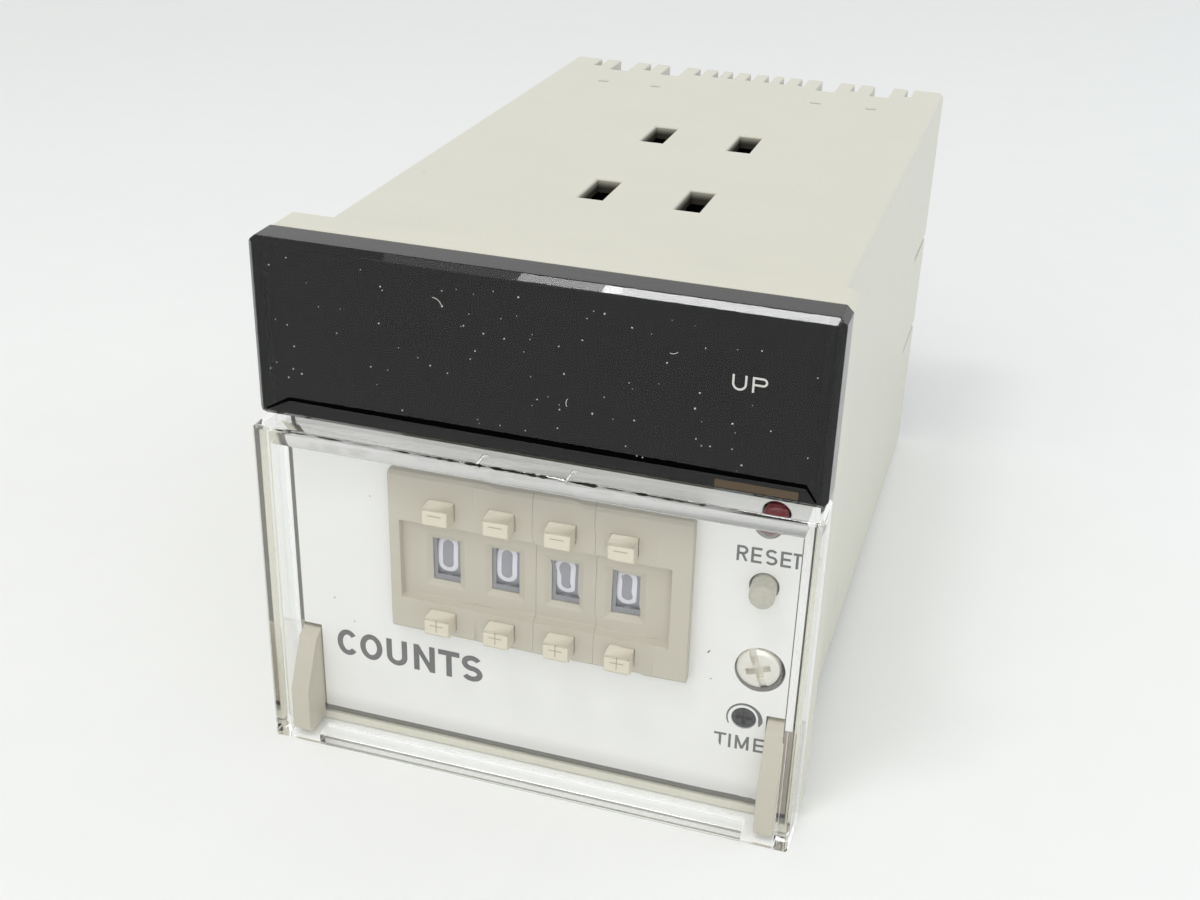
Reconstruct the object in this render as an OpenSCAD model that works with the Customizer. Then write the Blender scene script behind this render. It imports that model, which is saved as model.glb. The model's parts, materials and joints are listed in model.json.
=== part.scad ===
// Panel counter with a smoked display window, a push-wheel preset switch and a hinged clear cover.
// Millimetres. +Z is up and +Y goes into the panel. The origin is the centre of the flange's rear face.

/* [Front flange] */
// Width and height of the square front flange
flange_w = 72; // [70:0.5:80]
// Thickness of the flange in front of the panel
flange_t = 5.5; // [4.8:0.1:8]
// Bevel on the corners of the flange
flange_bevel = 1; // [0.4:0.1:1.4]
// Rim left around the recess that takes the faceplate
rim_w = 1.3; // [1:0.1:2]

/* [Case] */
// Width and height of the body behind the panel
body_w = 67; // [64:0.5:68]
// Depth of the body behind the panel
body_d = 107.3; // [100:0.1:125]
// Wall of the case
wall = 2; // [1.6:0.1:2.4]
// Bevel along the long edges of the body
body_bevel = 0.6; // [0.2:0.1:1.5]
// Width of a ventilation slot
vent_w = 3.6; // [2:0.1:5]
// Length of a ventilation slot
vent_l = 9.3; // [5:0.1:14]
// Height of the springy tongue in each side wall
tongue_h = 16; // [10:0.5:24]
// Length of the slits beside the tongue
tongue_l = 15; // [8:0.5:18]
// Width of the slits beside the tongue
tongue_slit = 1; // [0.6:0.1:1.6]

/* [Rear terminals] */
// Distance from one terminal to the next
terminal_pitch = 9.3; // [8:0.1:12]
// Depth of the terminal bays behind the base of the block
bay_d = 10.5; // [8:0.1:14]
// Thickness of the base of the terminal block
block_t = 3; // [2:0.1:5]
// Thickness of a barrier rib
rib_t = 1; // [0.8:0.1:1.6]
// Height of the terminal rows above and below the middle
row_z = 21.6; // [18:0.1:24]
// Width of the narrow notches in the rear edge
notch_w = 1.1; // [0.8:0.1:1.6]
// Depth of the narrow notches
notch_d = 5.3; // [3:0.1:7]
// Width of the wide notches in the rear edge
wide_notch_w = 3.2; // [2:0.1:5]
// Depth of the wide notches
wide_notch_d = 7.3; // [4:0.1:9]

/* [Display window] */
// Height of the smoked window
window_h = 23.4; // [18:0.1:26]
// Depth of the window in front of the flange
window_d = 4.85; // [4:0.05:7]
// Thickness of the window's front
window_t = 2; // [1.2:0.1:2.5]
// Bevel around the window's front
window_bevel = 0.8; // [0.4:0.1:1.5]

/* [Faceplate and chassis] */
// Thickness of the faceplate
face_t = 1.1; // [1:0.1:2]
// Thickness of the chassis front plate
chassis_t = 2; // [1.4:0.1:2.6]
// Thickness of the chassis cheeks
cheek_t = 1.4; // [1.1:0.1:2]
// Thickness of the circuit boards
board_t = 1.6; // [1:0.1:2]

/* [Clear cover] */
// Depth of the cover in front of the flange
cover_d = 6.9; // [6.4:0.1:9]
// Thickness of the cover's front
cover_t = 1.8; // [1.4:0.1:2.2]
// Thickness of the cover's side walls
cover_wall = 2; // [1.6:0.1:2.4]
// Thickness of the cover's top wall
cover_roof = 2.7; // [1.8:0.1:3]
// Thickness of the cover's bottom wall
cover_floor = 1.3; // [0.8:0.1:1.6]
// Bevel around the cover's outer edges
cover_bevel = 0.4; // [0.2:0.1:0.8]
// Reach of the hinge arms in front of the hinge axis
knuckle_r = 1.75; // [1.5:0.05:1.8]
// Radius of the cover's hinge pins
pin_r = 0.9; // [0.7:0.05:1.1]
// Width of a hinge arm
arm_w = 2.6; // [2:0.1:3.4]
// Height of a hinge arm
arm_h = 15.2; // [12:0.1:18]
// Distance between the grooves that mark the finger grip
grip_w = 11.4; // [8:0.2:16]

/* [Preset switch] */
// Number of digits
digits = 4; // [4]
// Width of one digit module
module_w = 8.1; // [7.8:0.1:8.6]
// Height of the switch's front
switch_h = 23.3; // [23:0.1:25]
// How far the switch stands proud of the faceplate
switch_proud = 2; // [1.6:0.1:2.4]
// Depth of the switch behind the faceplate
switch_d = 25.5; // [22:0.5:26]
// Depth of the band that holds the digit windows
band_d = 1.2; // [0.8:0.1:1.3]
// Height of the band that holds the digit windows
band_h = 10.7; // [10:0.1:11.5]
// Width of the left end cap
cap_left_w = 3.5; // [2.8:0.1:4]
// Width of the right end cap
cap_right_w = 4.3; // [3.4:0.1:5]
// Radius of a digit wheel
wheel_r = 9; // [8.5:0.1:9.2]
// Width of a digit wheel
wheel_w = 4.4; // [4.2:0.1:4.6]
// Radius of the axle that carries a digit wheel
axle_r = 1.5; // [1:0.1:2]
// Width of a digit window
digit_w = 3.75; // [3:0.05:4]
// Height of a digit window
digit_h = 6.1; // [4.5:0.1:6.5]
// Width of a push button
button_w = 3.4; // [3:0.1:4]
// Height of a push button
button_h = 2.4; // [1.8:0.1:2.6]
// Travel of a push button
button_travel = 1.5; // [1:0.1:1.6]

/* [Other controls] */
// Radius of the reset button
reset_r = 1.7; // [1.4:0.05:1.9]
// How far the reset button stands out of the faceplate
reset_out = 2.8; // [2:0.1:4.4]
// Travel of the reset button
reset_travel = 0.8; // [0.4:0.1:1]
// Radius of the indicator lamp
lamp_r = 1.5; // [1.3:0.05:1.7]
// Radius of the lock screw's head
screw_head_r = 2.85; // [2.5:0.05:2.9]
// Radius of the lock screw's shank
screw_r = 1.5; // [1.2:0.05:1.6]
// Radius of the time trimmer
trimmer_r = 1.5; // [1.3:0.05:1.8]

/* [Hidden] */
$fn = 48;
part_fit = 0.1;
run_gap = 0.3;
pin_fit = 0.05;
over = 1;

case_cream = [0.85, 0.84, 0.77];
arm_cream = [0.80, 0.78, 0.72];
face_white = [0.93, 0.93, 0.92];
smoked = [0.10, 0.09, 0.09];
clear = [0.85, 0.90, 0.92, 0.35];
switch_grey = [0.76, 0.74, 0.69];
button_cream = [0.83, 0.80, 0.72];
wheel_grey = [0.50, 0.50, 0.52];
board_green = [0.16, 0.36, 0.24];
black_plastic = [0.12, 0.12, 0.13];
nickel = [0.78, 0.77, 0.73];
brass = [0.78, 0.65, 0.35];
lamp_red = [0.55, 0.05, 0.07];

// Planes and half sizes that the pieces share
half = flange_w / 2;
body_half = body_w / 2;
cavity_half = body_half - wall;
recess_half = half - rim_w;
front_y = -flange_t;
chassis_y = front_y + face_t;
seat_y = chassis_y + chassis_t;
window_z = half - window_h;
seam = 0.2;
face_top = window_z - seam;
face_gap = 1.1;
face_foot = 1.25;
face_edge = recess_half - face_gap;
face_bottom = face_foot - recess_half;

// Clear cover and its hinge
cover_front_y = front_y - cover_d;
cover_inner_y = cover_front_y + cover_t;
cover_rear_y = front_y - seam;
cover_top = window_z - 3 * seam;
cover_bottom = -half;
cover_inner_x = half - cover_wall;
knuckle_gap = 0.25;
hinge_y = cover_inner_y + knuckle_r + knuckle_gap;
hinge_rise = 2.1;
hinge_z = cover_bottom + hinge_rise;
pin_l = 1.7;
grip_groove = [0.6, 0.5];
floor_lap = 0.7;
cover_floor_rear = hinge_y + floor_lap;

// Hinge arms, inside the cover's side walls
arm_out_x = cover_inner_x - seam;
arm_in_x = arm_out_x - arm_w;
arm_heel = 2;
arm_top = hinge_z + arm_h - arm_heel;
arm_gap = [0.15, 0.55];
arm_nose_r = 0.9;
arm_nose_drop = 1.4;
arm_nose_z = hinge_z - arm_nose_drop;
arm_lip = [1.5, 0.9];
arm_slope = 0.36;
arm_foot = [1.2, 6];
arm_clear = 1.5;
cover_floor_x = arm_in_x - arm_clear;

// Preset switch
switch_shift = 0.2;
switch_x0 = switch_shift - digits * module_w / 2;
switch_x1 = switch_x0 + digits * module_w;
switch_drop = 5.85;
switch_z1 = window_z - switch_drop;
switch_z0 = switch_z1 - switch_h;
switch_y = front_y - switch_proud;
switch_rear_y = front_y + switch_d;
switch_lip = 0.35;
band_y = switch_y + band_d;
band_drop = 7.25;
band_z1 = switch_z1 - band_drop;
band_z0 = band_z1 - band_h;
digit_z = band_z1 - band_h / 2 + 0.15;
digit_u = module_w / 2 - 0.2;
digit_frame = 0.8;
wheel_gap = 0.4;
wheel_y = band_y + 0.9 + wheel_r;
wheel_u = digit_u - wheel_w / 2;
wheel_rim = 1.2;
wheel_web = 1.2;
hub_r = axle_r + 1.1;
detents = 10;
detent_r = 0.7;
module_wall = 1.2;
contact_t = 0.8;
contact_u = module_w - module_wall - contact_t;
contact_tail = 5;
contact_half = 5.8;
rod_r = 0.8;
ear = [0.6, 5, 6];
rod_y = wheel_y + 11.4;
rod_inset = 2.2;
button_out = 2.65;
button_y = switch_y - button_out;
button_rear_y = front_y + 0.5;
button_foot = [0.8, 0.6];
minus_rise = 1.65;
plus_rise = 1.5;
minus_z = band_z1 + minus_rise + button_h / 2;
plus_z = switch_z0 + plus_rise + button_h / 2;

// Controls on the right of the faceplate
control_x = min(recess_half - 5, cavity_half - 2.1);
lamp_drop = 5.7;
lamp_z = window_z - lamp_drop;
lamp_gap = 0.25;
screw_rise = 7.4;
screw_shift = 0.1;
screw_x = control_x + screw_shift;
screw_z = arm_top + screw_rise;
screw_hole = [screw_head_r + 0.35, 0.22];
screw_turn = -20;
reset_share = 0.415;
reset_z = lamp_z + (screw_z - lamp_z) * reset_share;
reset_gap = 0.15;
trimmer_shift = 1.25;
trimmer_x = control_x - trimmer_shift;
trimmer_rise = -0.45;
trimmer_z = arm_top + trimmer_rise;
trimmer_half = 3;
trimmer_slot = [0.5, 2.2, 0.7];
screw_boss_r = 3;
screw_boss_y = 10;
screw_web_t = 2;
post_r = 1.2;
control_board_y = seat_y + 4.9;
control_board_x = [switch_x1 + cap_right_w + 1.3, cavity_half - 0.3];
control_board_z = [trimmer_z - trimmer_half - run_gap - 2 * post_r, lamp_z + 3.7];
reset_collar = [0.6, 1];
reset_stem_r = 0.9;
trimmer_stem_r = 0.95;

// Display behind the window
display_x = 25;
window_wall = rim_w + 1.4;
window_floor = 2;
display_z = [window_z + 2.9, min(cavity_half, half - window_wall) - 0.5];
display_board_y = seat_y + 2.9;
display_post_x = display_x + post_r + 0.8;

// Boards, cheeks and the rear block
cheek_x = cavity_half - 0.15 - cheek_t;
board_half = cheek_x + 0.65;
board_y0 = 8;
block_y = body_d - 0.5 - bay_d - block_t;
base_y = block_y + block_t;
board_y1 = block_y - 6;
contact_plate = [7.8, 8.4, 0.8];
blade_w = 4;
upper_blade_z = row_z - contact_plate[1] / 2 - 3;
lower_blade_z = -upper_blade_z - 2;
blade_rise = 0.8;
main_z = upper_blade_z - blade_rise - board_t;
power_z = -cavity_half + 6.5;
power_top = power_z + board_t;
cheek_z = [power_z - 3, main_z + 4];
connector_l = 8.8;
connector_over = 2.4;
connector_lap = 6;
connector_side = 0.5;
blade_lap = 3;
terminals = floor((2 * cavity_half - 4) / terminal_pitch);
terminal_x0 = -(terminals - 1) * terminal_pitch / 2;
hook_y = block_y - 2.1;
hook_w = 1.4;
hook_t = 1.2;
hook_lead = 1;
hook_half = 0.4;
slit = [hook_w + 0.2, 1];
mid_bar = [9, bay_d - 2.5];
pair_gap = 2.75;
terminal_screw_r = 1.7;
terminal_head = [3.1, 2.3];
slot_w = 0.9;
slot_d = 1.2;

// Large parts on the power board
core = [38, 16, 27];
core_leg = 12.8;
core_window = [6.4, 17];
core_yoke = (core[2] - core_window[1]) / 2;
core_back = 29;
core_y = board_y1 - core_back;
winding_fit = 0.2;
winding_out = 5;
relay = [10, 20, 15];
relay_groove = [4, 0.6];
relay_inset = 4;
relay_at = [relay_inset - cheek_x, core_y - core_back];
can_r = 6.3;
can_h = 20;
can_groove = 0.4;
can_groove_z = [2, 3];
can_inset = [12, 19];
can_at = [cheek_x - can_inset[0], core_y - can_inset[1]];

// Ventilation slots in the top and bottom walls
vent_x = [-4.95, 8.55];
vent_y = [31.5, 61.7];
tongue_z = -0.8;

// A box between two opposite corners
module block(lo, hi) {
    translate(lo) cube(hi - lo);
}

// A flat outline in X and Z, carried along Y
module along_y(y0, y1) {
    translate([0, y1, 0]) rotate([90, 0, 0]) linear_extrude(y1 - y0) children();
}

// A flat outline in Y and Z, carried along X
module along_x(x0, x1) {
    translate([x0, 0, 0]) rotate([90, 0, 90]) linear_extrude(x1 - x0) children();
}

module rod_along_y(x, z, r, y0, y1) {
    translate([x, y0, z]) rotate([-90, 0, 0]) cylinder(r = r, h = y1 - y0);
}

module rod_along_x(y, z, r, x0, x1) {
    translate([x0, y, z]) rotate([0, 90, 0]) cylinder(r = r, h = x1 - x0);
}

module rect(lo, hi) {
    translate(lo) square(hi - lo);
}

// A rectangle with its four corners cut off
module bevelled_rect(lo, hi, c) {
    polygon([
        [lo[0] + c, lo[1]], [hi[0] - c, lo[1]], [hi[0], lo[1] + c], [hi[0], hi[1] - c],
        [hi[0] - c, hi[1]], [lo[0] + c, hi[1]], [lo[0], hi[1] - c], [lo[0], lo[1] + c]
    ]);
}

// A block whose front edges and corners are bevelled, by crossing three outlines
module bevelled_front(lo, hi, c) {
    intersection() {
        along_y(lo[1], hi[1]) bevelled_rect([lo[0], lo[2]], [hi[0], hi[2]], c);
        along_x(lo[0], hi[0]) front_bevel_outline(lo[1], hi[1], lo[2], hi[2], c);
        translate([0, 0, lo[2] - over]) linear_extrude(hi[2] - lo[2] + 2 * over)
            rotate(90) mirror([0, 1]) front_bevel_outline(lo[1], hi[1], lo[0], hi[0], c);
    }
}

// Outline with the front at y0 bevelled at both ends
module front_bevel_outline(y0, y1, a0, a1, c) {
    polygon([[y0, a0 + c], [y0 + c, a0], [y1, a0], [y1, a1], [y0 + c, a1], [y0, a1 - c]]);
}

module mirrored_x() {
    children();
    mirror([1, 0, 0]) children();
}

module mirrored_z() {
    children();
    mirror([0, 0, 1]) children();
}

function terminal_x(k) = terminal_x0 + k * terminal_pitch;
function rib_x(k) = terminal_x0 + (k - 0.5) * terminal_pitch;
function is_outer(k) = abs(k - (terminals - 1) / 2) > 1;

// Four ventilation slots in the top wall and four in the bottom wall
module vents() {
    mirrored_z()
        for (x = vent_x, y = vent_y)
            block([x - vent_w / 2, y - vent_l / 2, cavity_half - over],
                  [x + vent_w / 2, y + vent_l / 2, body_half + over]);
}

// One notch of the rear edge, open to the rear
module rear_notch(x, w, d) {
    block([x - w / 2, body_d - d, cavity_half - over], [x + w / 2, body_d + over, body_half + over]);
}

// Notches beside every terminal, wide ones at the outer terminals and pairs at the middle ones
module rear_comb() {
    mirrored_z() {
        for (k = [0 : terminals]) rear_notch(rib_x(k), notch_w, notch_d);
        for (k = [0 : terminals - 1]) {
            if (is_outer(k)) rear_notch(terminal_x(k), wide_notch_w, wide_notch_d);
            else for (side = [-1, 1]) rear_notch(terminal_x(k) + side * pair_gap / 2, notch_w, notch_d);
        }
    }
}

// Slits that the terminal block's hooks snap into
module hook_slits() {
    mirrored_z()
        for (k = [0 : terminals - 1])
            if (is_outer(k))
                block([terminal_x(k) - slit[0] / 2, hook_y - slit[1] / 2, cavity_half - over],
                      [terminal_x(k) + slit[0] / 2, hook_y + slit[1] / 2, body_half + over]);
}

// Two slits in each side wall leave a springy tongue between them
module tongue_slits() {
    mirrored_x()
        for (side = [-1, 1])
            translate([0, 0, side * (tongue_h + tongue_slit) / 2 + tongue_z])
                block([cavity_half - over, body_d - tongue_l, -tongue_slit / 2],
                      [body_half + over, body_d + over, tongue_slit / 2]);
}

// Boss of the lock screw and the web that joins it to the side wall, grown by a gap
module screw_boss(gap, y0, y1) {
    rod_along_y(screw_x, screw_z, screw_boss_r + gap, y0, y1);
    block([screw_x, y0, screw_z - screw_web_t / 2 - gap],
          [cavity_half + wall / 2, y1, screw_z + screw_web_t / 2 + gap]);
}

module case() {
    color(case_cream) difference() {
        union() {
            along_y(front_y, 0) bevelled_rect([-half, -half], [half, half], flange_bevel);
            difference() {
                along_y(seat_y, body_d)
                    bevelled_rect([-body_half, -body_half], [body_half, body_half], body_bevel);
                along_y(seat_y - over, body_d + over)
                    rect([-cavity_half, -cavity_half], [cavity_half, cavity_half]);
            }
            screw_boss(0, seat_y, screw_boss_y);
        }
        along_y(front_y - over, seat_y) rect([-recess_half, -recess_half], [recess_half, recess_half]);
        difference() {
            along_y(seat_y - over, over) rect([-cavity_half, -cavity_half], [cavity_half, cavity_half]);
            screw_boss(0, seat_y - over, 2 * over);
        }
        rod_along_y(screw_x, screw_z, screw_r + pin_fit, seat_y - over, screw_boss_y - 1);
        vents();
        rear_comb();
        hook_slits();
        tongue_slits();
    }
}

// Opening that the preset switch passes through, in the faceplate and the chassis
module switch_opening(y0, y1) {
    block([switch_x0 - cap_left_w + switch_lip - part_fit, y0, switch_z0 + switch_lip - part_fit],
          [switch_x1 + cap_right_w - switch_lip + part_fit, y1, switch_z1 - switch_lip + part_fit]);
}

// Grooved cheek that holds the edges of both long boards
module cheek() {
    difference() {
        block([cheek_x, seat_y, cheek_z[0]], [cheek_x + cheek_t, board_y1 - 1, cheek_z[1]]);
        for (z = [main_z, power_z])
            block([cheek_x - over, board_y0 - part_fit, z - part_fit / 2],
                  [board_half + part_fit, board_y1 + over, z + board_t + part_fit / 2]);
    }
}

// Front plate behind the faceplate, with posts for the small boards and two cheeks for the long ones
module chassis() {
    color(black_plastic) {
        difference() {
            along_y(chassis_y, seat_y)
                rect([part_fit - recess_half, part_fit - recess_half],
                     [recess_half - part_fit, recess_half - part_fit]);
            switch_opening(chassis_y - over, seat_y + over);
            block([-display_x - part_fit, chassis_y - over, display_z[0] - part_fit],
                  [display_x + part_fit, seat_y + over, display_z[1] + part_fit]);
            rod_along_y(control_x, reset_z, reset_r + reset_collar[0] + run_gap, chassis_y - over, over);
            rod_along_y(control_x, lamp_z, lamp_r + lamp_gap, chassis_y - over, over);
            rod_along_y(screw_x, screw_z, screw_r + 2 * part_fit, chassis_y - over, over);
            rod_along_y(trimmer_x, trimmer_z, trimmer_r + part_fit, chassis_y - over, over);
            mirrored_x() arm_peg(chassis_y - over, seat_y + over, pin_fit);
        }
        mirrored_x()
            for (z = [display_z[0] + post_r, display_z[1] - post_r])
                rod_along_y(display_post_x, z, post_r, seat_y, display_board_y);
        for (z = [control_board_z[0] + post_r, control_board_z[1] - post_r])
            rod_along_y(control_board_x[0] + post_r, z, post_r, seat_y, control_board_y);
        mirror([1, 0, 0]) cheek();
        difference() {
            cheek();
            block([cheek_x - over, seat_y, control_board_z[0] - 0.5],
                  [cavity_half, screw_boss_y + 3, control_board_z[1] + 0.5]);
        }
    }
}

module faceplate() {
    color(face_white) difference() {
        along_y(front_y, chassis_y) rect([-face_edge, face_bottom], [face_edge, face_top]);
        switch_opening(front_y - over, chassis_y + over);
        mirrored_x()
            block([arm_in_x - arm_gap[0], front_y - over, face_bottom - over],
                  [face_edge + over, chassis_y + over, arm_top + arm_gap[1]]);
        rod_along_y(control_x, reset_z, reset_r + reset_gap, front_y - over, over);
        rod_along_y(control_x, lamp_z, lamp_r + lamp_gap, front_y - over, over);
        rod_along_y(screw_x + screw_hole[1], screw_z - screw_hole[1], screw_hole[0], front_y - over, over);
        rod_along_y(trimmer_x, trimmer_z, trimmer_r + part_fit, front_y - over, over);
    }
}

// Hollow smoked block with a rim that locates in the flange's recess
module display_window() {
    edge = recess_half - 2 * part_fit;
    inner = half - window_wall;
    color(smoked) difference() {
        union() {
            bevelled_front([-half, front_y - window_d, window_z], [half, front_y, half], window_bevel);
            along_y(front_y - over, chassis_y) rect([-edge, window_z + seam], [edge, edge]);
        }
        along_y(front_y - window_d + window_t, chassis_y + over)
            rect([-inner, window_z + window_floor], [inner, inner]);
    }
}

// Clear shell that turns on two short pins inside its side walls
module front_cover() {
    color(clear) difference() {
        union() {
            difference() {
                bevelled_front([-half, cover_front_y, cover_bottom], [half, cover_rear_y, cover_top], cover_bevel);
                block([-cover_inner_x, cover_inner_y, cover_bottom + cover_floor],
                      [cover_inner_x, cover_rear_y + over, cover_top - cover_roof]);
            }
            mirrored_x()
                rod_along_x(hinge_y, hinge_z, pin_r, cover_inner_x - pin_l, cover_inner_x + cover_wall / 2);
        }
        cover_heel();
        mirrored_x()
            block([cover_floor_x, cover_inner_y, cover_bottom - over],
                  [cover_inner_x, cover_rear_y + over, cover_bottom + cover_floor + pin_fit]);
        block([-cover_inner_x, cover_floor_rear, cover_bottom - over],
              [cover_inner_x, cover_rear_y + over, cover_bottom + cover_floor + pin_fit]);
        mirrored_x()
            block([(grip_w - grip_groove[0]) / 2, cover_front_y - over, cover_top - grip_groove[1]],
                  [(grip_w + grip_groove[0]) / 2, cover_inner_y + over, cover_top + over]);
    }
}

// What is cut from the cover's lower rear corners, so that they clear the flange as the cover turns
module cover_heel() {
    difference() {
        block([-half - over, hinge_y, cover_bottom - over], [half + over, cover_rear_y + over, hinge_z]);
        rod_along_x(hinge_y, hinge_z, cover_rear_y - hinge_y, -half - 2 * over, half + 2 * over);
    }
}

// Peg of a hinge arm, through the chassis plate
module arm_peg(y0, y1, gap) {
    mid = [(arm_in_x + arm_out_x) / 2, hinge_z + arm_h / 2 - 1];
    block([mid[0] - arm_foot[0] / 2 - gap, y0, mid[1] - arm_foot[1] / 2 - gap],
          [mid[0] + arm_foot[0] / 2 + gap, y1, mid[1] + arm_foot[1] / 2 + gap]);
}

// Wedge arm with a blunt nose, which carries one pin of the cover
module hinge_arm() {
    nose_y = hinge_y - knuckle_r;
    color(arm_cream) difference() {
        union() {
            along_x(arm_in_x, arm_out_x) {
                polygon([
                    [chassis_y, arm_top], [front_y, arm_top], [front_y - arm_lip[0], arm_top - arm_lip[1]],
                    [nose_y, hinge_z + arm_h * arm_slope], [nose_y, arm_nose_z + arm_nose_r],
                    [nose_y + arm_nose_r, arm_nose_z], [front_y - part_fit, arm_nose_z],
                    [front_y - part_fit, face_bottom], [chassis_y, face_bottom]
                ]);
                translate([nose_y + arm_nose_r, arm_nose_z + arm_nose_r]) circle(r = arm_nose_r);
            }
            arm_peg(chassis_y - over, seat_y, 0);
        }
        rod_along_x(hinge_y, hinge_z, pin_r + pin_fit, arm_out_x - pin_l, arm_out_x + over);
    }
}

module hinge_arm_left() {
    mirror([1, 0, 0]) hinge_arm();
}

module hinge_arm_right() {
    hinge_arm();
}

// Front lip and rear body of the preset switch between two planes of X
module switch_slice(x0, x1) {
    along_x(x0, x1)
        front_bevel_outline(switch_y, front_y, switch_z0, switch_z1, 0.5);
    block([x0, front_y - part_fit, switch_z0 + switch_lip], [x1, switch_rear_y, switch_z1 - switch_lip]);
}

// Band across the switch that the digit windows lie in
module switch_band(x0, x1) {
    along_x(x0, x1)
        polygon([
            [switch_y - over, band_z0 - 0.4], [switch_y, band_z0 - 0.4], [band_y, band_z0],
            [band_y, band_z1], [switch_y, band_z1 + 0.4], [switch_y - over, band_z1 + 0.4]
        ]);
}

module tie_rod_holes(x0, x1) {
    for (z = [switch_z0 + rod_inset, switch_z1 - rod_inset])
        rod_along_x(rod_y, z, rod_r + pin_fit, x0, x1);
}

// End cap of the switch, with a spring ear behind the chassis plate
module switch_end(w, band_w) {
    difference() {
        switch_slice(0, w);
        block([w - switch_lip, front_y, switch_z0 - over], [w + over, switch_rear_y + over, switch_z1 + over]);
        switch_band(-over, band_w);
        tie_rod_holes(-over, w + over);
    }
    translate([w - switch_lip, seat_y + part_fit, (switch_z0 + switch_z1 - ear[2]) / 2])
        linear_extrude(ear[2]) polygon([[-over / 2, 0], [ear[0], 0], [0, ear[1]], [-over / 2, ear[1]]]);
}

module switch_end_left() {
    color(switch_grey) translate([switch_x0, 0, 0]) mirror([1, 0, 0]) switch_end(cap_left_w, 2);
}

module switch_end_right() {
    color(switch_grey) translate([switch_x1, 0, 0]) switch_end(cap_right_w, 1.8);
}

module switch_tie_rods() {
    color(nickel)
        for (z = [switch_z0 + rod_inset, switch_z1 - rod_inset])
            rod_along_x(rod_y, z, rod_r, switch_x0 - cap_left_w + 0.5, switch_x1 + cap_right_w - 0.5);
}

function module_x(i) = switch_x0 + i * module_w;

// Digit window that narrows towards the wheel
module digit_window() {
    w = digit_w / 2;
    h = digit_h / 2;
    f = digit_frame;
    translate([digit_u, 0, digit_z]) intersection() {
        along_x(-w - f, w + f) polygon([[band_y - over, -h - f], [band_y, -h - f], [band_y + 0.4, -h],
                                        [wheel_y, -h], [wheel_y, h], [band_y + 0.4, h], [band_y, h + f],
                                        [band_y - over, h + f]]);
        translate([0, 0, -h - f]) linear_extrude(2 * (h + f))
            polygon([[-w - f, band_y - over], [-w - f, band_y], [-w, band_y + 0.4], [-w, wheel_y],
                     [w, wheel_y], [w, band_y + 0.4], [w + f, band_y], [w + f, band_y - over]]);
    }
}

// Guide of a push button, wider behind the front for the button's foot
module button_pocket(z) {
    w = button_w / 2 + part_fit;
    h = button_h / 2 + part_fit;
    deep = button_rear_y + button_travel + 0.4;
    block([digit_u - w, switch_y - over, z - h], [digit_u + w, deep, z + h]);
    block([digit_u - w, button_rear_y - button_foot[1] - part_fit, z],
          [digit_u + w, deep, z + h + button_foot[0]]);
}

// Housing of one digit, open on its left, with the axle on its right wall
module digit_module(i) {
    deep = module_w - module_wall;
    color(switch_grey) translate([module_x(i), 0, 0]) {
        difference() {
            switch_slice(0, module_w);
            switch_band(-over, module_w + over);
            digit_window();
            button_pocket(minus_z);
            button_pocket(plus_z);
            rod_along_x(wheel_y, digit_z, wheel_r + wheel_gap, -over, deep);
            block([-over, wheel_y, digit_z - contact_half - part_fit],
                  [deep, switch_rear_y + over, digit_z + contact_half + part_fit]);
            tie_rod_holes(-over, module_w + over);
        }
        rod_along_x(wheel_y, digit_z, axle_r, wheel_u - 0.4, deep);
    }
}

// Wiper board of one digit, with a tail behind the housing
module contact_board(i) {
    color(board_green) translate([module_x(i), 0, 0]) difference() {
        union() {
            rod_along_x(wheel_y, digit_z, wheel_r - 0.4, contact_u, contact_u + contact_t);
            block([contact_u, wheel_y, digit_z - contact_half],
                  [contact_u + contact_t, switch_rear_y + contact_tail, digit_z + contact_half]);
        }
        rod_along_x(wheel_y, digit_z, axle_r + run_gap, contact_u - over, contact_u + contact_t + over);
    }
}

// Drum with a thin rim, a web, a hub and a ring of detent notches inside the rim
module digit_wheel(i) {
    x1 = wheel_u + wheel_w;
    inner_r = wheel_r - wheel_rim;
    color(wheel_grey) translate([module_x(i), 0, 0]) difference() {
        rod_along_x(wheel_y, digit_z, wheel_r, wheel_u, x1);
        difference() {
            rod_along_x(wheel_y, digit_z, inner_r, wheel_u + wheel_web, x1 + over);
            rod_along_x(wheel_y, digit_z, hub_r, wheel_u, x1 + 2 * over);
        }
        for (k = [0 : detents - 1])
            translate([0, wheel_y, digit_z]) rotate([k * 360 / detents, 0, 0])
                rod_along_x(inner_r, 0, detent_r, wheel_u + wheel_web, x1 + over);
        rod_along_x(wheel_y, digit_z, axle_r + pin_fit, wheel_u - over, x1 + over);
    }
}

// Push button with a foot that keeps it in its guide
module push_button(i, z) {
    w = button_w / 2;
    h = button_h / 2;
    color(button_cream) translate([module_x(i) + digit_u, 0, z]) {
        along_x(-w, w) front_bevel_outline(button_y, button_rear_y, -h, h, 0.25);
        block([-w, button_rear_y - button_foot[1], 0], [w, button_rear_y, h + button_foot[0]]);
    }
}

module reset_button() {
    collar_r = reset_r + reset_collar[0];
    tip = front_y - reset_out;
    color(arm_cream) translate([control_x, 0, reset_z]) rotate([-90, 0, 0]) rotate_extrude()
        polygon([
            [0, tip], [reset_r - 0.5, tip], [reset_r, tip + 0.5], [reset_r, chassis_y + part_fit],
            [collar_r, chassis_y + part_fit], [collar_r, chassis_y + part_fit + reset_collar[1]],
            [reset_stem_r, chassis_y + part_fit + reset_collar[1]], [reset_stem_r, control_board_y - 2],
            [0, control_board_y - 2]
        ]);
}

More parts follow.
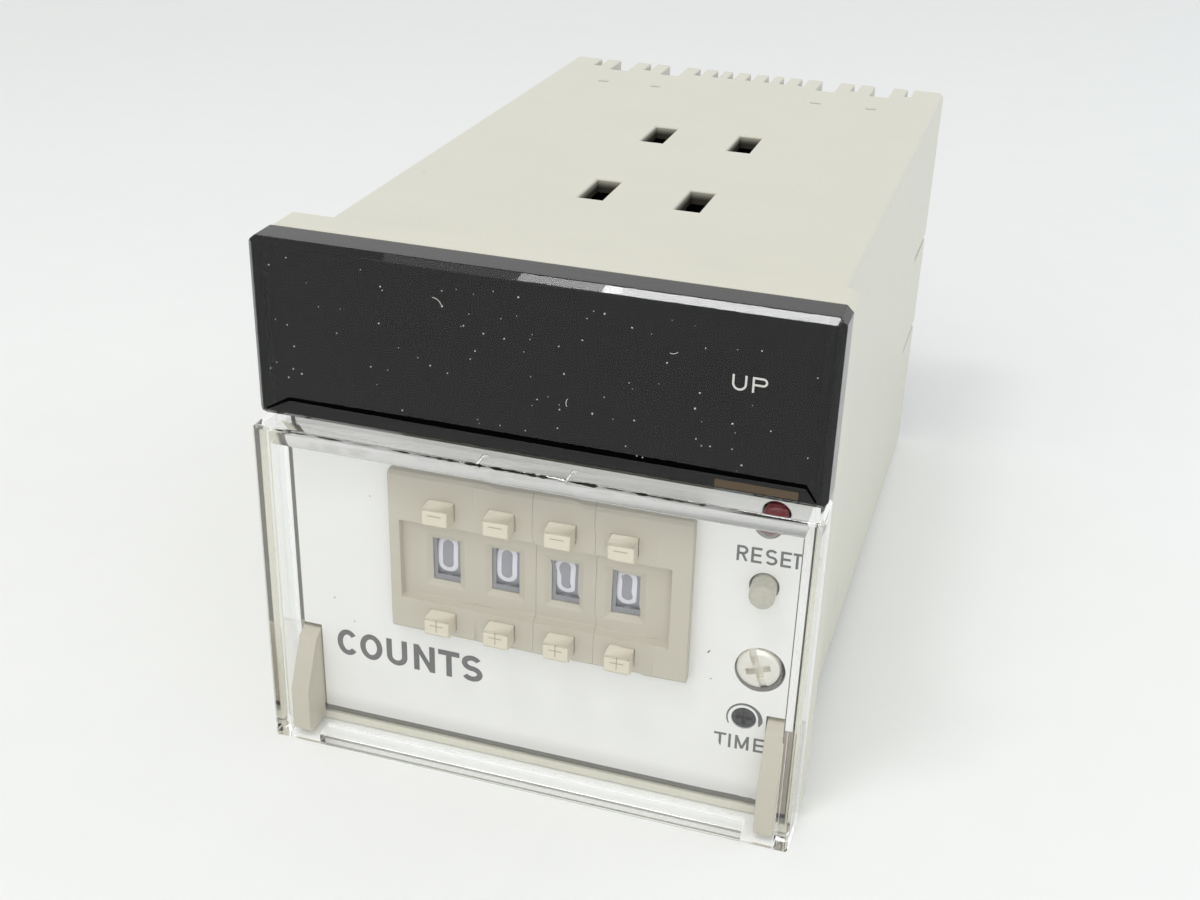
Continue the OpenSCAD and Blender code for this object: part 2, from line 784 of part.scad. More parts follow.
module reset_switch() {
    color(black_plastic) difference() {
        block([control_x - 1.9, seat_y + 1.4, reset_z - 3], [control_x + 1.9, control_board_y, reset_z + 3]);
        rod_along_y(control_x, reset_z, reset_stem_r + run_gap, seat_y,
                    control_board_y - 2 + reset_travel + run_gap);
    }
}

module indicator_lamp() {
    dome_y = front_y - seam;
    color(lamp_red) translate([control_x, 0, lamp_z]) {
        rod_along_y(0, 0, lamp_r, dome_y, control_board_y);
        intersection() {
            translate([0, dome_y + lamp_r * 0.75, 0]) sphere(r = lamp_r * 1.25);
            rod_along_y(0, 0, lamp_r, dome_y - lamp_r, dome_y);
        }
    }
}

// Slot and cross cut into a screw's head at the front plane y0
module slot_and_cross(r, y0, depth) {
    w = slot_w / 2;
    arm = r * 0.55;
    block([-w, y0 - over, -r - over], [w, y0 + depth * 0.6, r + over]);
    block([-arm, y0 - over, -w], [arm, y0 + depth, w]);
    block([-w, y0 - over, -arm], [w, y0 + depth, arm]);
}

module lock_screw() {
    head_y = front_y - 0.4;
    color(nickel) translate([screw_x, 0, screw_z]) difference() {
        rotate([-90, 0, 0]) rotate_extrude()
            polygon([
                [0, head_y], [screw_head_r - 0.6, head_y], [screw_head_r - 0.15, head_y + 0.3],
                [screw_head_r, head_y + 0.8], [screw_head_r, chassis_y], [screw_r, chassis_y],
                [screw_r, screw_boss_y - 2.4], [0, screw_boss_y - 1.6]
            ]);
        rotate([0, screw_turn, 0]) slot_and_cross(screw_head_r, head_y, slot_d);
    }
}

module time_trimmer() {
    face_y = front_y + seam;
    color(black_plastic) translate([trimmer_x, 0, trimmer_z]) difference() {
        union() {
            rod_along_y(0, 0, trimmer_r, face_y, seat_y + 0.7);
            rod_along_y(0, 0, trimmer_stem_r, seat_y, control_board_y - 2);
        }
        for (turn = [0, 90])
            rotate([0, turn, 0])
                block([-trimmer_slot[0] / 2, face_y - over, -trimmer_slot[1] / 2],
                      [trimmer_slot[0] / 2, face_y + trimmer_slot[2], trimmer_slot[1] / 2]);
    }
}

module trimmer_body() {
    color(black_plastic) difference() {
        block([trimmer_x - trimmer_half, seat_y + 0.9, trimmer_z - trimmer_half],
              [trimmer_x + trimmer_half, control_board_y, trimmer_z + trimmer_half]);
        rod_along_y(trimmer_x, trimmer_z, trimmer_stem_r + pin_fit, seat_y, control_board_y - 1.7);
    }
}

module control_board() {
    color(board_green) difference() {
        along_y(control_board_y, control_board_y + board_t)
            rect([control_board_x[0], control_board_z[0]], [control_board_x[1], control_board_z[1]]);
        screw_boss(run_gap, control_board_y - over, control_board_y + board_t + over);
    }
}

module display_board() {
    color(board_green)
        along_y(display_board_y, display_board_y + board_t)
            rect([-cheek_x + run_gap, main_z + board_t + run_gap], [cheek_x - run_gap, cavity_half - run_gap]);
}

// One seven-segment figure as shallow slots in the display's face
module figure_slots(y0, w, h) {
    bar = 1;
    for (z = [-h / 2, 0, h / 2])
        block([bar - w / 2, y0 - over, z - bar / 2], [w / 2 - bar, y0 + 0.4, z + bar / 2]);
    for (x = [-w / 2, w / 2], z = [-h / 4, h / 4])
        block([x - bar / 2, y0 - over, z - h / 4 + bar], [x + bar / 2, y0 + 0.4, z + h / 4 - bar]);
}

module digit_display() {
    face_y = front_y - window_d + window_t + 0.5;
    middle = (display_z[0] + display_z[1]) / 2;
    pitch = 2 * display_x / digits;
    color(black_plastic) difference() {
        along_y(face_y, display_board_y)
            rect([-display_x, display_z[0]], [display_x, display_z[1]]);
        for (i = [0 : digits - 1])
            translate([(i - (digits - 1) / 2) * pitch, 0, middle])
                figure_slots(face_y, pitch * 0.55, (display_z[1] - display_z[0]) * 0.7);
    }
}

module long_board(z) {
    color(board_green) block([-board_half, board_y0, z], [board_half, board_y1, z + board_t]);
}

module main_board() {
    long_board(main_z);
}

module power_board() {
    long_board(power_z);
}

// Laminated core with two windows for the coil
module transformer_core() {
    window_x = (core_leg + core_window[0]) / 2;
    color(nickel) translate([0, core_y, power_top]) difference() {
        block([-core[0] / 2, 0, 0], [core[0] / 2, core[1], core[2]]);
        for (side = [-1, 1])
            translate([side * window_x - core_window[0] / 2, -over, core_yoke])
                cube([core_window[0], core[1] + 2 * over, core_window[1]]);
    }
}

// Winding on its bobbin, around the middle leg of the core
module transformer_coil() {
    leg = core_leg / 2 + winding_fit / 2;
    out = core_leg / 2 + core_window[0] - winding_fit;
    color(brass) translate([0, core_y, power_top]) difference() {
        block([-out, -winding_out, core_yoke + winding_fit],
              [out, core[1] + winding_out, core_yoke + core_window[1] - winding_fit]);
        block([-leg, -winding_fit, -over], [leg, core[1] + winding_fit, core[2]]);
    }
}

module output_relay() {
    color(case_cream) translate([relay_at[0], relay_at[1], power_top]) difference() {
        cube(relay);
        translate([(relay[0] - relay_groove[0]) / 2, -over, relay[2] - relay_groove[1]])
            cube([relay_groove[0], relay[1] + 2 * over, over]);
    }
}

// Round can with a rolled groove near its base
module smoothing_capacitor() {
    neck = can_r - can_groove;
    color(black_plastic) translate([can_at[0], can_at[1], power_top]) rotate_extrude()
        polygon([
            [0, 0], [can_r, 0], [can_r, can_groove_z[0]], [neck, (can_groove_z[0] + can_groove_z[1]) / 2],
            [can_r, can_groove_z[1]], [can_r, can_h - can_groove], [neck, can_h], [0, can_h]
        ]);
}

// Connector on a board's rear edge, slotted for the terminals' blades
module edge_connector(z0, blade_z) {
    color(black_plastic) difference() {
        block([connector_side - cheek_x, board_y1 - connector_lap, z0],
              [cheek_x - connector_side, board_y1 - connector_lap + connector_l, blade_z + connector_over]);
        for (k = [0 : terminals - 1])
            translate([terminal_x(k), 0, blade_z])
                block([-blade_w / 2 - part_fit, board_y1 - blade_lap - over, -part_fit],
                      [blade_w / 2 + part_fit, block_y, contact_plate[2] + part_fit]);
    }
}

module upper_connector() {
    edge_connector(main_z + board_t, upper_blade_z);
}

module lower_connector() {
    edge_connector(power_top, lower_blade_z);
}

// Repeats its children at every terminal of a row
module at_terminals() {
    for (k = [0 : terminals - 1])
        translate([terminal_x(k), 0, 0]) children();
}

// Hook that snaps into a slit of the case
module block_hook() {
    z = cavity_half - part_fit;
    block([-hook_w / 2, hook_y - hook_lead, z - hook_t], [hook_w / 2, block_y + over, z]);
    block([-hook_w / 2, hook_y - hook_half, z - hook_t], [hook_w / 2, hook_y + hook_half, z + wall * 0.75]);
}

// Base that the terminal screws go through, with snap hooks and slots for the blades
module terminal_block() {
    edge = cavity_half - part_fit;
    color(black_plastic) difference() {
        union() {
            along_y(block_y, base_y) rect([-edge, -edge], [edge, edge]);
            mirrored_z() for (k = [0 : terminals - 1])
                if (is_outer(k)) translate([terminal_x(k), 0, 0]) block_hook();
        }
        mirrored_z() at_terminals()
            rod_along_y(0, row_z, terminal_screw_r + pin_fit, block_y - over, base_y + over);
        for (z = [upper_blade_z, lower_blade_z])
            at_terminals()
                block([-blade_w / 2 - part_fit, block_y - over, z - part_fit],
                      [blade_w / 2 + part_fit, base_y + over, z + contact_plate[2] + part_fit]);
    }
}

// Ribs between the terminals and a raised bar between the rows, on the rear of the base
module terminal_barrier() {
    edge = cavity_half - part_fit;
    color(black_plastic) {
        block([-edge, base_y, -mid_bar[0]], [edge, base_y + mid_bar[1], mid_bar[0]]);
        for (k = [0 : terminals])
            block([rib_x(k) - rib_t / 2, base_y, -edge], [rib_x(k) + rib_t / 2, base_y + bay_d, edge]);
    }
}

// Plate under a terminal screw, with a neck and a blade that goes forward through the base
module terminal_contact(z, blade_z) {
    y1 = base_y + contact_plate[2];
    up = z > 0 ? 1 : -1;
    near = z - up * contact_plate[1] / 2;
    difference() {
        block([-contact_plate[0] / 2, base_y, z - contact_plate[1] / 2],
              [contact_plate[0] / 2, y1, z + contact_plate[1] / 2]);
        rod_along_y(0, z, terminal_screw_r + 2 * part_fit, base_y - over, y1 + over);
    }
    block([-blade_w / 2, base_y, min(near, blade_z)],
          [blade_w / 2, y1, max(near, blade_z + contact_plate[2])]);
    block([-blade_w / 2, board_y1 - blade_lap, blade_z], [blade_w / 2, y1, blade_z + contact_plate[2]]);
}

module terminal_contacts() {
    color(brass) at_terminals() {
        terminal_contact(row_z, upper_blade_z);
        terminal_contact(-row_z, lower_blade_z);
    }
}

module terminal_screws() {
    head_y = base_y + contact_plate[2];
    color(nickel) at_terminals()
        for (z = [-row_z, row_z])
            translate([0, 0, z]) difference() {
                union() {
                    rod_along_y(0, 0, terminal_head[0], head_y, head_y + terminal_head[1]);
                    rod_along_y(0, 0, terminal_screw_r, block_y, head_y + part_fit);
                }
                mirror([0, 1, 0]) slot_and_cross(terminal_head[0], -head_y - terminal_head[1], slot_d);
            }
}

case();
chassis();
faceplate();
display_window();
front_cover();
hinge_arm_left();
hinge_arm_right();
switch_end_left();
switch_end_right();
switch_tie_rods();
for (i = [0 : digits - 1]) {
    digit_module(i);
    contact_board(i);
    digit_wheel(i);
    push_button(i, minus_z);
    push_button(i, plus_z);
}
reset_button();
reset_switch();
indicator_lamp();
lock_screw();
time_trimmer();
trimmer_body();
control_board();
display_board();
digit_display();
main_board();
power_board();
transformer_core();
transformer_coil();
output_relay();
smoothing_capacitor();
upper_connector();
lower_connector();
terminal_block();
terminal_barrier();
terminal_contacts();
terminal_screws();
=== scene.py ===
import json
import math

import bmesh
import bpy
import numpy as np
from bpy.props import FloatProperty, FloatVectorProperty, PointerProperty
from mathutils import Euler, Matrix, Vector


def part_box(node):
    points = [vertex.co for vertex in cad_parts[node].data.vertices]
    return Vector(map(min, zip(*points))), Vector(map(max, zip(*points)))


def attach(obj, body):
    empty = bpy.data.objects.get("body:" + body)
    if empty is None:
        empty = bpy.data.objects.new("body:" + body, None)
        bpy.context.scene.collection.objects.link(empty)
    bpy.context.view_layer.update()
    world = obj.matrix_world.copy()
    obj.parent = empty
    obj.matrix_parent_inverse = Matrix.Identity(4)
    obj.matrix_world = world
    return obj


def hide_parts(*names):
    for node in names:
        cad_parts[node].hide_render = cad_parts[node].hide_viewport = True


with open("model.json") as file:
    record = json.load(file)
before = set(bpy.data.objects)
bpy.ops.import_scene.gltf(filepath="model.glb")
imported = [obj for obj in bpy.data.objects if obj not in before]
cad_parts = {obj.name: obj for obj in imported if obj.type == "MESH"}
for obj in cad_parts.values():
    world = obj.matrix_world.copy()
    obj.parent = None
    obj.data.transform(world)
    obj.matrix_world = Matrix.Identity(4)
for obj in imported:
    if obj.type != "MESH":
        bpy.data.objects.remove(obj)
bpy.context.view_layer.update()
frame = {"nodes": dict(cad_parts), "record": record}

bl_info = {
    "name": "Panel Counter",
    "version": (1, 0, 0),
    "blender": (4, 5, 0),
    "location": "3D View > Sidebar > Counter",
    "description": "Finishes, lettering and stage for a panel counter built on its CAD frame",
    "category": "Object",
}

MM = 0.001
DIGITS = 4
QUARTERS = np.arange(4) * np.pi / 2
BOX_CORNERS = np.array([[0, 0, 0], [1, 0, 0], [1, 1, 0], [0, 1, 0],
                        [0, 0, 1], [1, 0, 1], [1, 1, 1], [0, 1, 1]])
BOX_FACES = np.array([[0, 3, 2, 1], [4, 5, 6, 7], [0, 1, 5, 4], [1, 2, 6, 5], [2, 3, 7, 6], [3, 0, 4, 7]])

# Sizes and places of the case in millimetres, as in the part's source
BODY_HALF, CAVITY_HALF = 33.5, 31.5
VENT_X, VENT_Y, VENT_SIZE = (-4.95, 8.55), (31.5, 61.7), (3.6, 9.3)
# Liners carrying painted shade in the vents, in millimetres: thickness, and heights above the cavity and
# the body between which their painted shade dies away
VENT_SKIN, VENT_DARK, VENT_UNSHADED = 0.1, 0.6, 0.3
# Width in millimetres over which the scratches of the side set in
SCUFF_ONSET = 0.3

# Words in millimetres: starts and widths of their letters along X, base line and cap line along Z
WORDS = {
    "UP": ((24.0, 26.3), (1.7, 1.75), 26.0, 27.9),
    "COUNTS": ((-28.75, -25.36, -21.44, -17.45, -13.88, -10.56), (3.1, 3.28, 3.03, 3.07, 3.07, 3.03),
               -24.2, -20.05),
    "RESET": ((25.75, 27.53, 29.25, 31.1, 32.6), (1.38, 1.3, 1.48, 1.3, 1.0), 1.6, 3.72),
    "TIME": ((24.5, 26.3, 27.25, 29.65), (1.6, 0.5, 1.8, 1.4), -25.95, -23.85),
}
# Arrow round the trimmer: radius in millimetres, first and last angle in degrees, number of points, and
# widths in millimetres at some of them
ARROW_R, ARROW_SWEEP, ARROW_STEPS = 2.15, (208, -24), 48
ARROW_WIDTHS = ((0, 30, 43, 47), (0.16, 0.34, 0.6, 0.12))

# Painted dark line for the shade low in the window, in millimetres: foot and run above the window's base,
# insets of its bends from the left and right sides, and its width from end to middle
FRAME_FOOT, FRAME_RUN = 1.0, 2.8
FRAME_ENDS, FRAME_LEFT_BEND, FRAME_RIGHT_BEND, FRAME_STRAIGHT = 1.3, 4.5, 2.6, (-12, 18)
FRAME_WIDTHS = (0.25, 0.5, 0.75, 0.75, 0.5, 0.25)
# Painted warm reflection low in the window, in millimetres: span along X, middle above its base, height
GLOW_X, GLOW_RISE, GLOW_HEIGHT = (22.8, 32.6), 1.42, 1.0
# Dust on the window: count, size and margins in millimetres, and seed of the flakes
DUST_COUNT, DUST_SIZE, DUST_LOW, DUST_HIGH, DUST_SEED = 95, 0.165, (2, 3), (2, 2), 5
# Threads on the window: place along X and Z and radius in millimetres, start in degrees; then the sweep in
# degrees, number of points and width of each
THREADS = ((-12.0, 30.5, 1.2, 20), (5.5, 21.0, 0.9, 140), (17.0, 30.0, 0.8, 250))
THREAD_SWEEP, THREAD_STEPS, THREAD_WIDTH = 70, 9, 0.06

# Two rows of dirt on the cover's front top edge: span along X, count, width in millimetres and seed; then
# their distance from the front and the top
DIRT_ROWS = ((-33, 33, 34, 0.22, 3), (-17, 22, 30, 0.5, 8))
DIRT_INSET = 0.2
# Painted dark line for the refraction at the cover's right inner corner, in millimetres: thickness, place
# beyond the faceplate and behind the front, and distances from the arm's top and the cover's top
CORNER_THICK, CORNER_BEYOND, CORNER_BEHIND, CORNER_FOOT, CORNER_HEAD = 0.13, 0.4, 1.8, 0.9, 2.8

# Faceplate in millimetres: height over which its painted foot shade dies away, and margin of its right side
FACE_FADE, FACE_SIDE = 3.2, 0.1
# Strips of painted shade in the gaps round the faceplate, in millimetres: depth behind its front, height
# above the arms, clearance beside the arms; and what the white edge bar stays short of the chassis
STRIP_DEPTH, STRIP_ABOVE, STRIP_BESIDE, EDGE_SHORT = 0.45, 0.5, 0.05, 0.1
# Painted shadow round the lock screw: offset and width in millimetres, sweep in degrees, number of points
SCREW_GAP_MOVE, SCREW_GAP_WIDTH, SCREW_GAP_SWEEP, SCREW_GAP_STEPS = (0.1, 0, -0.18), 0.5, (20, -200), 72
# Specks of dirt on the faceplate: place along X and Z, turn in radians, reach of the four corners
FACE_SPECKS = np.array([
    (23.1, -12.1, 0.9, 0.4, 0.1, 0.3, 0.1),
    (-27.3, -20.4, 1.0, 0.14, 0.12, 0.12, 0.14),
    (23.6, -16.0, 0.2, 0.12, 0.1, 0.12, 0.1),
    (-28.8, -15.2, 0.7, 0.14, 0.12, 0.1, 0.12),
    (-26.0, -18.4, 0.3, 0.1, 0.14, 0.1, 0.08)])

# Height in millimetres over which the painted shade at the switch's head dies away
SWITCH_FADE = 6
# Depths behind the front, in millimetres, down to which edges are rounded
SWITCH_DEPTH, BUTTON_DEPTH, SCREW_DEPTH = 1.5, 2.0, 1.2
# Distance in millimetres at which two sides count as one seam, and margin of the buttons' openings
TOUCH, BUTTON_MARGIN = 0.02, 0.3
# Strips of painted shade at the foot and left of the digit openings, in millimetres: half width and half
# height, height of the foot, width of the side, and distances of their faces in front of the wheel
SHADE_STRIP_HALF, SHADE_STRIP_FOOT, SHADE_STRIP_SIDE, SHADE_STRIP_FRONT, SHADE_STRIP_REAR = (1.85, 3.0), 0.7, 0.5, 0.3, 0.06

# Reset button, in millimetres: width, clearance and thickness of the collar, radius of the neck; rounding of
# the tip, inset of its bend from the stem's side, and how far the tip falls at the bend and at the rounding
RESET_COLLAR, RESET_SEAT, RESET_COLLAR_L, RESET_NECK = 0.68, 0.1, 1, 0.9
RESET_ROUND, RESET_BEND, RESET_FALL = 0.55, 1.0, (0.03, 0.05)
# Heights above the lamp's base, in millimetres, between which its lens turns to a painted grey shade
LAMP_SHADE = np.array((0.6, 1.5))

# Floor: half its length in millimetres and its points along each side
FLOOR_HALF, FLOOR_STEPS = 3000, 41
# Colours of the surroundings and of the lights
SKY, WHITE, COOL = (0.985, 0.99, 0.98), (1, 1, 1), (0.68, 0.79, 1)
# Point that the lights face, in metres
AIM = (0, 0.03, 0)


def tone(red, green, blue):
    """Linear colour of an 8-bit display colour."""
    level = np.array((red, green, blue)) / 255
    linear = np.where(level <= 0.04045, level / 12.92, ((level + 0.055) / 1.055) ** 2.4)
    return tuple(float(value) for value in linear)


def paint(label, *levels):
    """Colour property with a default given as an 8-bit display colour."""
    return FloatVectorProperty(name=label, description=f"{label} colour", default=tone(*levels),
                               size=3, min=0, max=1, subtype="COLOR")


def length(label, about, default):
    """Length property with a default in millimetres."""
    return FloatProperty(name=label, description=about, default=default * MM, min=0,
                         unit="LENGTH", subtype="DISTANCE")


def amount(label, about, default, **kind):
    """Property for an amount from zero up, with a unit or subtype where one fits."""
    return FloatProperty(name=label, description=about, default=default, min=0, **kind)


class CounterColours(bpy.types.PropertyGroup):
    """Colours of the counter's materials."""

    case: paint("Case", 211, 209, 194)
    arm: paint("Hinge arm", 192, 186, 169)
    plate: paint("Faceplate", 234, 234, 231)
    switch: paint("Switch frame", 190, 184, 168)
    button: paint("Button", 216, 208, 188)
    wheel: paint("Digit wheel", 150, 150, 158)
    figure: paint("Wheel figure", 226, 225, 233)
    print_grey: paint("Printed lettering", 96, 96, 96)
    window_print: paint("Window lettering", 205, 205, 200)
    reset: paint("Reset button", 181, 178, 164)
    lamp: paint("Lamp", 112, 14, 26)
    black: paint("Black plastic", 34, 34, 36)
    board: paint("Circuit board", 38, 92, 58)
    copper: paint("Board track", 52, 118, 74)
    nickel: paint("Nickel", 232, 229, 219)
    core: paint("Core steel", 150, 150, 152)
    coil: paint("Coil wrap", 196, 150, 62)
    brass: paint("Contact brass", 220, 190, 128)
    # Dirt colour, also the colour that painted shade darkens towards
    dirt: paint("Dirt", 50, 45, 39)
    # Painted shade in the gaps beside the hinge arms
    arm_gap: paint("Gap beside the arms", 168, 160, 147)
    sign: paint("Button sign", 168, 156, 132)
    dust: paint("Dust", 208, 206, 200)
    # Painted shade line low in the display window
    shade: paint("Window frame line", 5, 4, 4)
    # Painted warm reflection low in the display window
    khaki: paint("Window glow", 88, 75, 60)
    # Painted shade for the front's gaps, the screw, the cover's corner line and the lamp's foot
    gap: paint("Gap strip", 112, 110, 104)
    # Painted shade at the foot and left of the digit openings
    lip: paint("Wheel lip", 138, 138, 144)
    floor: paint("Floor", 247, 248, 247)


class CounterEdges(bpy.types.PropertyGroup):
    """Edge roundings and lettering sizes."""

    case: length("Case edge", "Rounding of the case's edges", 0.25)
    window: length("Window edge", "Rounding of the display window's edges", 0.1)
    cover: length("Cover edge", "Rounding of the clear cover's edges", 0.08)
    arm: length("Arm edge", "Rounding of the hinge arms' edges", 0.12)
    switch: length("Switch edge", "Rounding of the switch frame's front edges", 0.14)
    seam: length("Seam edge", "Rounding of the seams between switch modules", 0.08)
    button: length("Button edge", "Rounding of the push buttons' edges", 0.22)
    screw: length("Screw edge", "Rounding of screw heads", 0.08)
    plate: length("Plate edge", "Rounding of the faceplate's edges", 0.06)
    rear: length("Rear edge", "Rounding of the terminal mouldings' edges", 0.2)
    ink: length("Ink", "Thickness of printed lettering", 0.02)
    bold_stroke: length("Bold stroke", "Stroke width of the bold word", 0.8)
    label_stroke: length("Label stroke", "Stroke width of the small labels", 0.32)
    window_stroke: length("Window stroke", "Stroke width of the window's label", 0.25)
    figure_height: length("Figure height", "Height of the wheel figures", 5.15)
    figure_width: length("Figure width", "Width of the wheel figures", 2.75)
    figure_stroke: length("Figure stroke", "Stroke width of the wheel figures", 0.62)
    figure_rise: length("Figure rise", "Height of the wheel figures above the drums' middle", 0.6)
    sign: length("Sign", "Length of the signs on the push buttons", 1.8)
    sign_stroke: length("Sign stroke", "Stroke width of the signs on the push buttons", 0.13)


class CounterStage(bpy.types.PropertyGroup):
    """Camera, floor and lights."""

    eye: FloatVectorProperty(name="Eye", description="Place of the camera", size=3, subtype="TRANSLATION",
                             unit="LENGTH", default=(0.055128, -0.163755, 0.097068))
    turn: FloatVectorProperty(name="Turn", description="Rotation of the camera", size=3, subtype="EULER",
                              default=tuple(math.radians(a) for a in (63.049, -1.7018, 17.6292)))
    lens: FloatProperty(name="Lens", description="Focal length of the camera in millimetres",
                        default=46.047, min=10, unit="CAMERA")
    floor_slope: FloatProperty(name="Floor slope", description="Rise of the floor towards the rear",
                               default=2.5 / 107.3)
    key: amount("Key", "Power of the window-like key light in watts", 0.4, unit="POWER")
    wing: amount("Wing", "Power of the faint light beside the key light, as a share of the key's", 0.16,
                 subtype="FACTOR")
    soft: amount("Soft", "Power of the large light above the front in watts", 2.2, unit="POWER")
    side: amount("Side", "Power of the cool light from the right in watts", 0.95, unit="POWER")
    ambient: amount("Ambient", "Strength of the light from all round", 0.72)
    backdrop: amount("Backdrop", "Strength of the surroundings in reflections", 1.0)


def settings(context):
    """Colours and edges of the scene."""
    return context.scene.counter_colours, context.scene.counter_edges


def feed(tree, socket, value):
    """Set an input socket to a value or link an output socket to it."""
    if isinstance(value, bpy.types.NodeSocket):
        tree.links.new(value, socket)
    elif isinstance(value, tuple) and socket.type == "RGBA" and len(value) == 3:
        socket.default_value = (*value, 1)
    else:
        socket.default_value = value


def feed_all(tree, node, **inputs):
    """Feed a node's inputs by their labels, with underscores for spaces."""
    for label, value in inputs.items():
        feed(tree, node.inputs[label.replace("_", " ")], value)
    return node


def add_node(tree, kind, **inputs):
    """New node of a tree; each input is a value or an output socket to be linked."""
    return feed_all(tree, tree.nodes.new(kind), **inputs)


def math_node(tree, operation, *values):
    """Output of a Math node."""
    node = tree.nodes.new("ShaderNodeMath")
    node.operation = operation
    for socket, value in zip(node.inputs, values):
        feed(tree, socket, value)
    return node.outputs[0]


def ramp(tree, value, low, high, start=0.0, end=1.0):
    """Value mapped smoothly from the span low to high onto start to end."""
    node = add_node(tree, "ShaderNodeMapRange", Value=value, From_Min=low, From_Max=high,
                    To_Min=start, To_Max=end)
    node.interpolation_type = "SMOOTHSTEP"
    return node.outputs["Result"]


def blend(tree, factor, first, second):
    """Colour mixed from two colours."""
    node = tree.nodes.new("ShaderNodeMix")
    node.data_type = "RGBA"
    for socket, value in zip((node.inputs[0], node.inputs[6], node.inputs[7]), (factor, first, second)):
        feed(tree, socket, value)
    return node.outputs[2]


def mixed_shader(tree, factor, first, second):
    """Output of two shader nodes mixed by a factor."""
    mixed = tree.nodes.new("ShaderNodeMixShader")
    for socket, value in zip(mixed.inputs, (factor, first.outputs[0], second.outputs[0])):
        feed(tree, socket, value)
    return mixed.outputs[0]


def object_place(tree):
    """Object coordinates."""
    return tree.nodes.new("ShaderNodeTexCoord").outputs["Object"]


def along(tree, axis):
    """Object coordinate along one axis."""
    return add_node(tree, "ShaderNodeSeparateXYZ", Vector=object_place(tree)).outputs[axis]


def noise(tree, place, scale, detail=2.0):
    """Value of a noise texture."""
    return add_node(tree, "ShaderNodeTexNoise", Vector=place, Scale=scale, Detail=detail).outputs["Fac"]


def new_group(name, inputs, outputs):
    """Shader node group with float sockets, or a colour socket where the label is Colour; returns the tree,
    its inputs and its output node."""
    tree = bpy.data.node_groups.new(name, "ShaderNodeTree")

    def add_socket(label, way):
        kind = "NodeSocketColor" if label == "Colour" else "NodeSocketFloat"
        return tree.interface.new_socket(label, in_out=way, socket_type=kind)

    for label, value in inputs.items():
        add_socket(label, "INPUT").default_value = (*value, 1) if isinstance(value, tuple) else value
    for label in outputs:
        add_socket(label, "OUTPUT")
    return tree, tree.nodes.new("NodeGroupInput").outputs, tree.nodes.new("NodeGroupOutput")


def skin_group():
    """Moulded skin: broad blotches tint the colour, and a fine grain gives roughness and height."""
    tree, enter, leave = new_group(
        "moulded_skin", {"Colour": (0.8, 0.8, 0.8), "Blotch": 0.03, "Roughness": 0.4, "Grain": 4000.0},
        ("Colour", "Roughness", "Height"))
    place = object_place(tree)
    broad = noise(tree, place, 95.0, 3.0)
    grain = noise(tree, place, enter["Grain"], 2.0)
    swing = math_node(tree, "MULTIPLY", math_node(tree, "SUBTRACT", broad, 0.5), enter["Blotch"])
    tinted = tree.nodes.new("ShaderNodeVectorMath")
    tinted.operation = "SCALE"
    feed(tree, tinted.inputs[0], enter["Colour"])
    feed(tree, tinted.inputs["Scale"], math_node(tree, "MULTIPLY_ADD", swing, 4.0, 1.0))
    rough = math_node(tree, "MULTIPLY_ADD", math_node(tree, "SUBTRACT", grain, 0.5), 0.2, enter["Roughness"])
    feed_all(tree, leave, Colour=tinted.outputs[0], Roughness=rough, Height=grain)
    return tree


def speck_group():
    """Sparse specks: a share of Voronoi cells holds a soft dot of a given size."""
    tree, enter, leave = new_group("sparse_specks", {"Scale": 300.0, "Share": 0.1, "Size": 0.08}, ("Mask",))
    cells = add_node(tree, "ShaderNodeTexVoronoi", Vector=object_place(tree), Scale=enter["Scale"]).outputs
    inside = ramp(tree, cells["Distance"], enter["Size"], math_node(tree, "MULTIPLY", enter["Size"], 0.6))
    pick = add_node(tree, "ShaderNodeSeparateColor", Color=cells["Color"]).outputs["Red"]
    chosen = math_node(tree, "LESS_THAN", pick, enter["Share"])
    feed_all(tree, leave, Mask=math_node(tree, "MULTIPLY", inside, chosen))
    return tree


def scratch_group():
    """Hair scratches: noise drawn out along one direction, kept only near its middle value in patches."""
    tree, enter, leave = new_group(
        "hair_scratches", {"Scale": 300.0, "Width": 0.004, "Patch": 0.55}, ("Mask",))
    turned_place = add_node(tree, "ShaderNodeMapping", Vector=object_place(tree),
                            Rotation=(0.3, 0.6, 0.2), Scale=(1.0, 0.12, 0.05))
    drawn = noise(tree, turned_place.outputs[0], enter["Scale"], 0.0)
    near = math_node(tree, "ABSOLUTE", math_node(tree, "SUBTRACT", drawn, 0.5))
    hair = math_node(tree, "LESS_THAN", near, enter["Width"])
    patch = ramp(tree, noise(tree, object_place(tree), 60.0), enter["Patch"],
                 math_node(tree, "ADD", enter["Patch"], 0.08))
    feed_all(tree, leave, Mask=math_node(tree, "MULTIPLY", hair, patch))
    return tree


def track_group():
    """Circuit tracks: narrow bands round Voronoi cells on a square lattice."""
    tree, enter, leave = new_group("board_tracks", {"Scale": 220.0, "Width": 0.06}, ("Mask",))
    cells = add_node(tree, "ShaderNodeTexVoronoi", Vector=object_place(tree), Scale=enter["Scale"])
    cells.distance = "CHEBYCHEV"
    edge = math_node(tree, "ABSOLUTE", math_node(tree, "SUBTRACT", cells.outputs["Distance"], 0.3))
    feed_all(tree, leave, Mask=math_node(tree, "LESS_THAN", edge, enter["Width"]))
    return tree


def group_node(tree, name, **inputs):
    """Outputs of a node that holds a shared group, built on its first use."""
    makers = {"moulded_skin": skin_group, "sparse_specks": speck_group,
              "hair_scratches": scratch_group, "board_tracks": track_group}
    node = tree.nodes.new("ShaderNodeGroup")
    node.node_tree = bpy.data.node_groups.get(name) or makers[name]()
    return feed_all(tree, node, **inputs).outputs


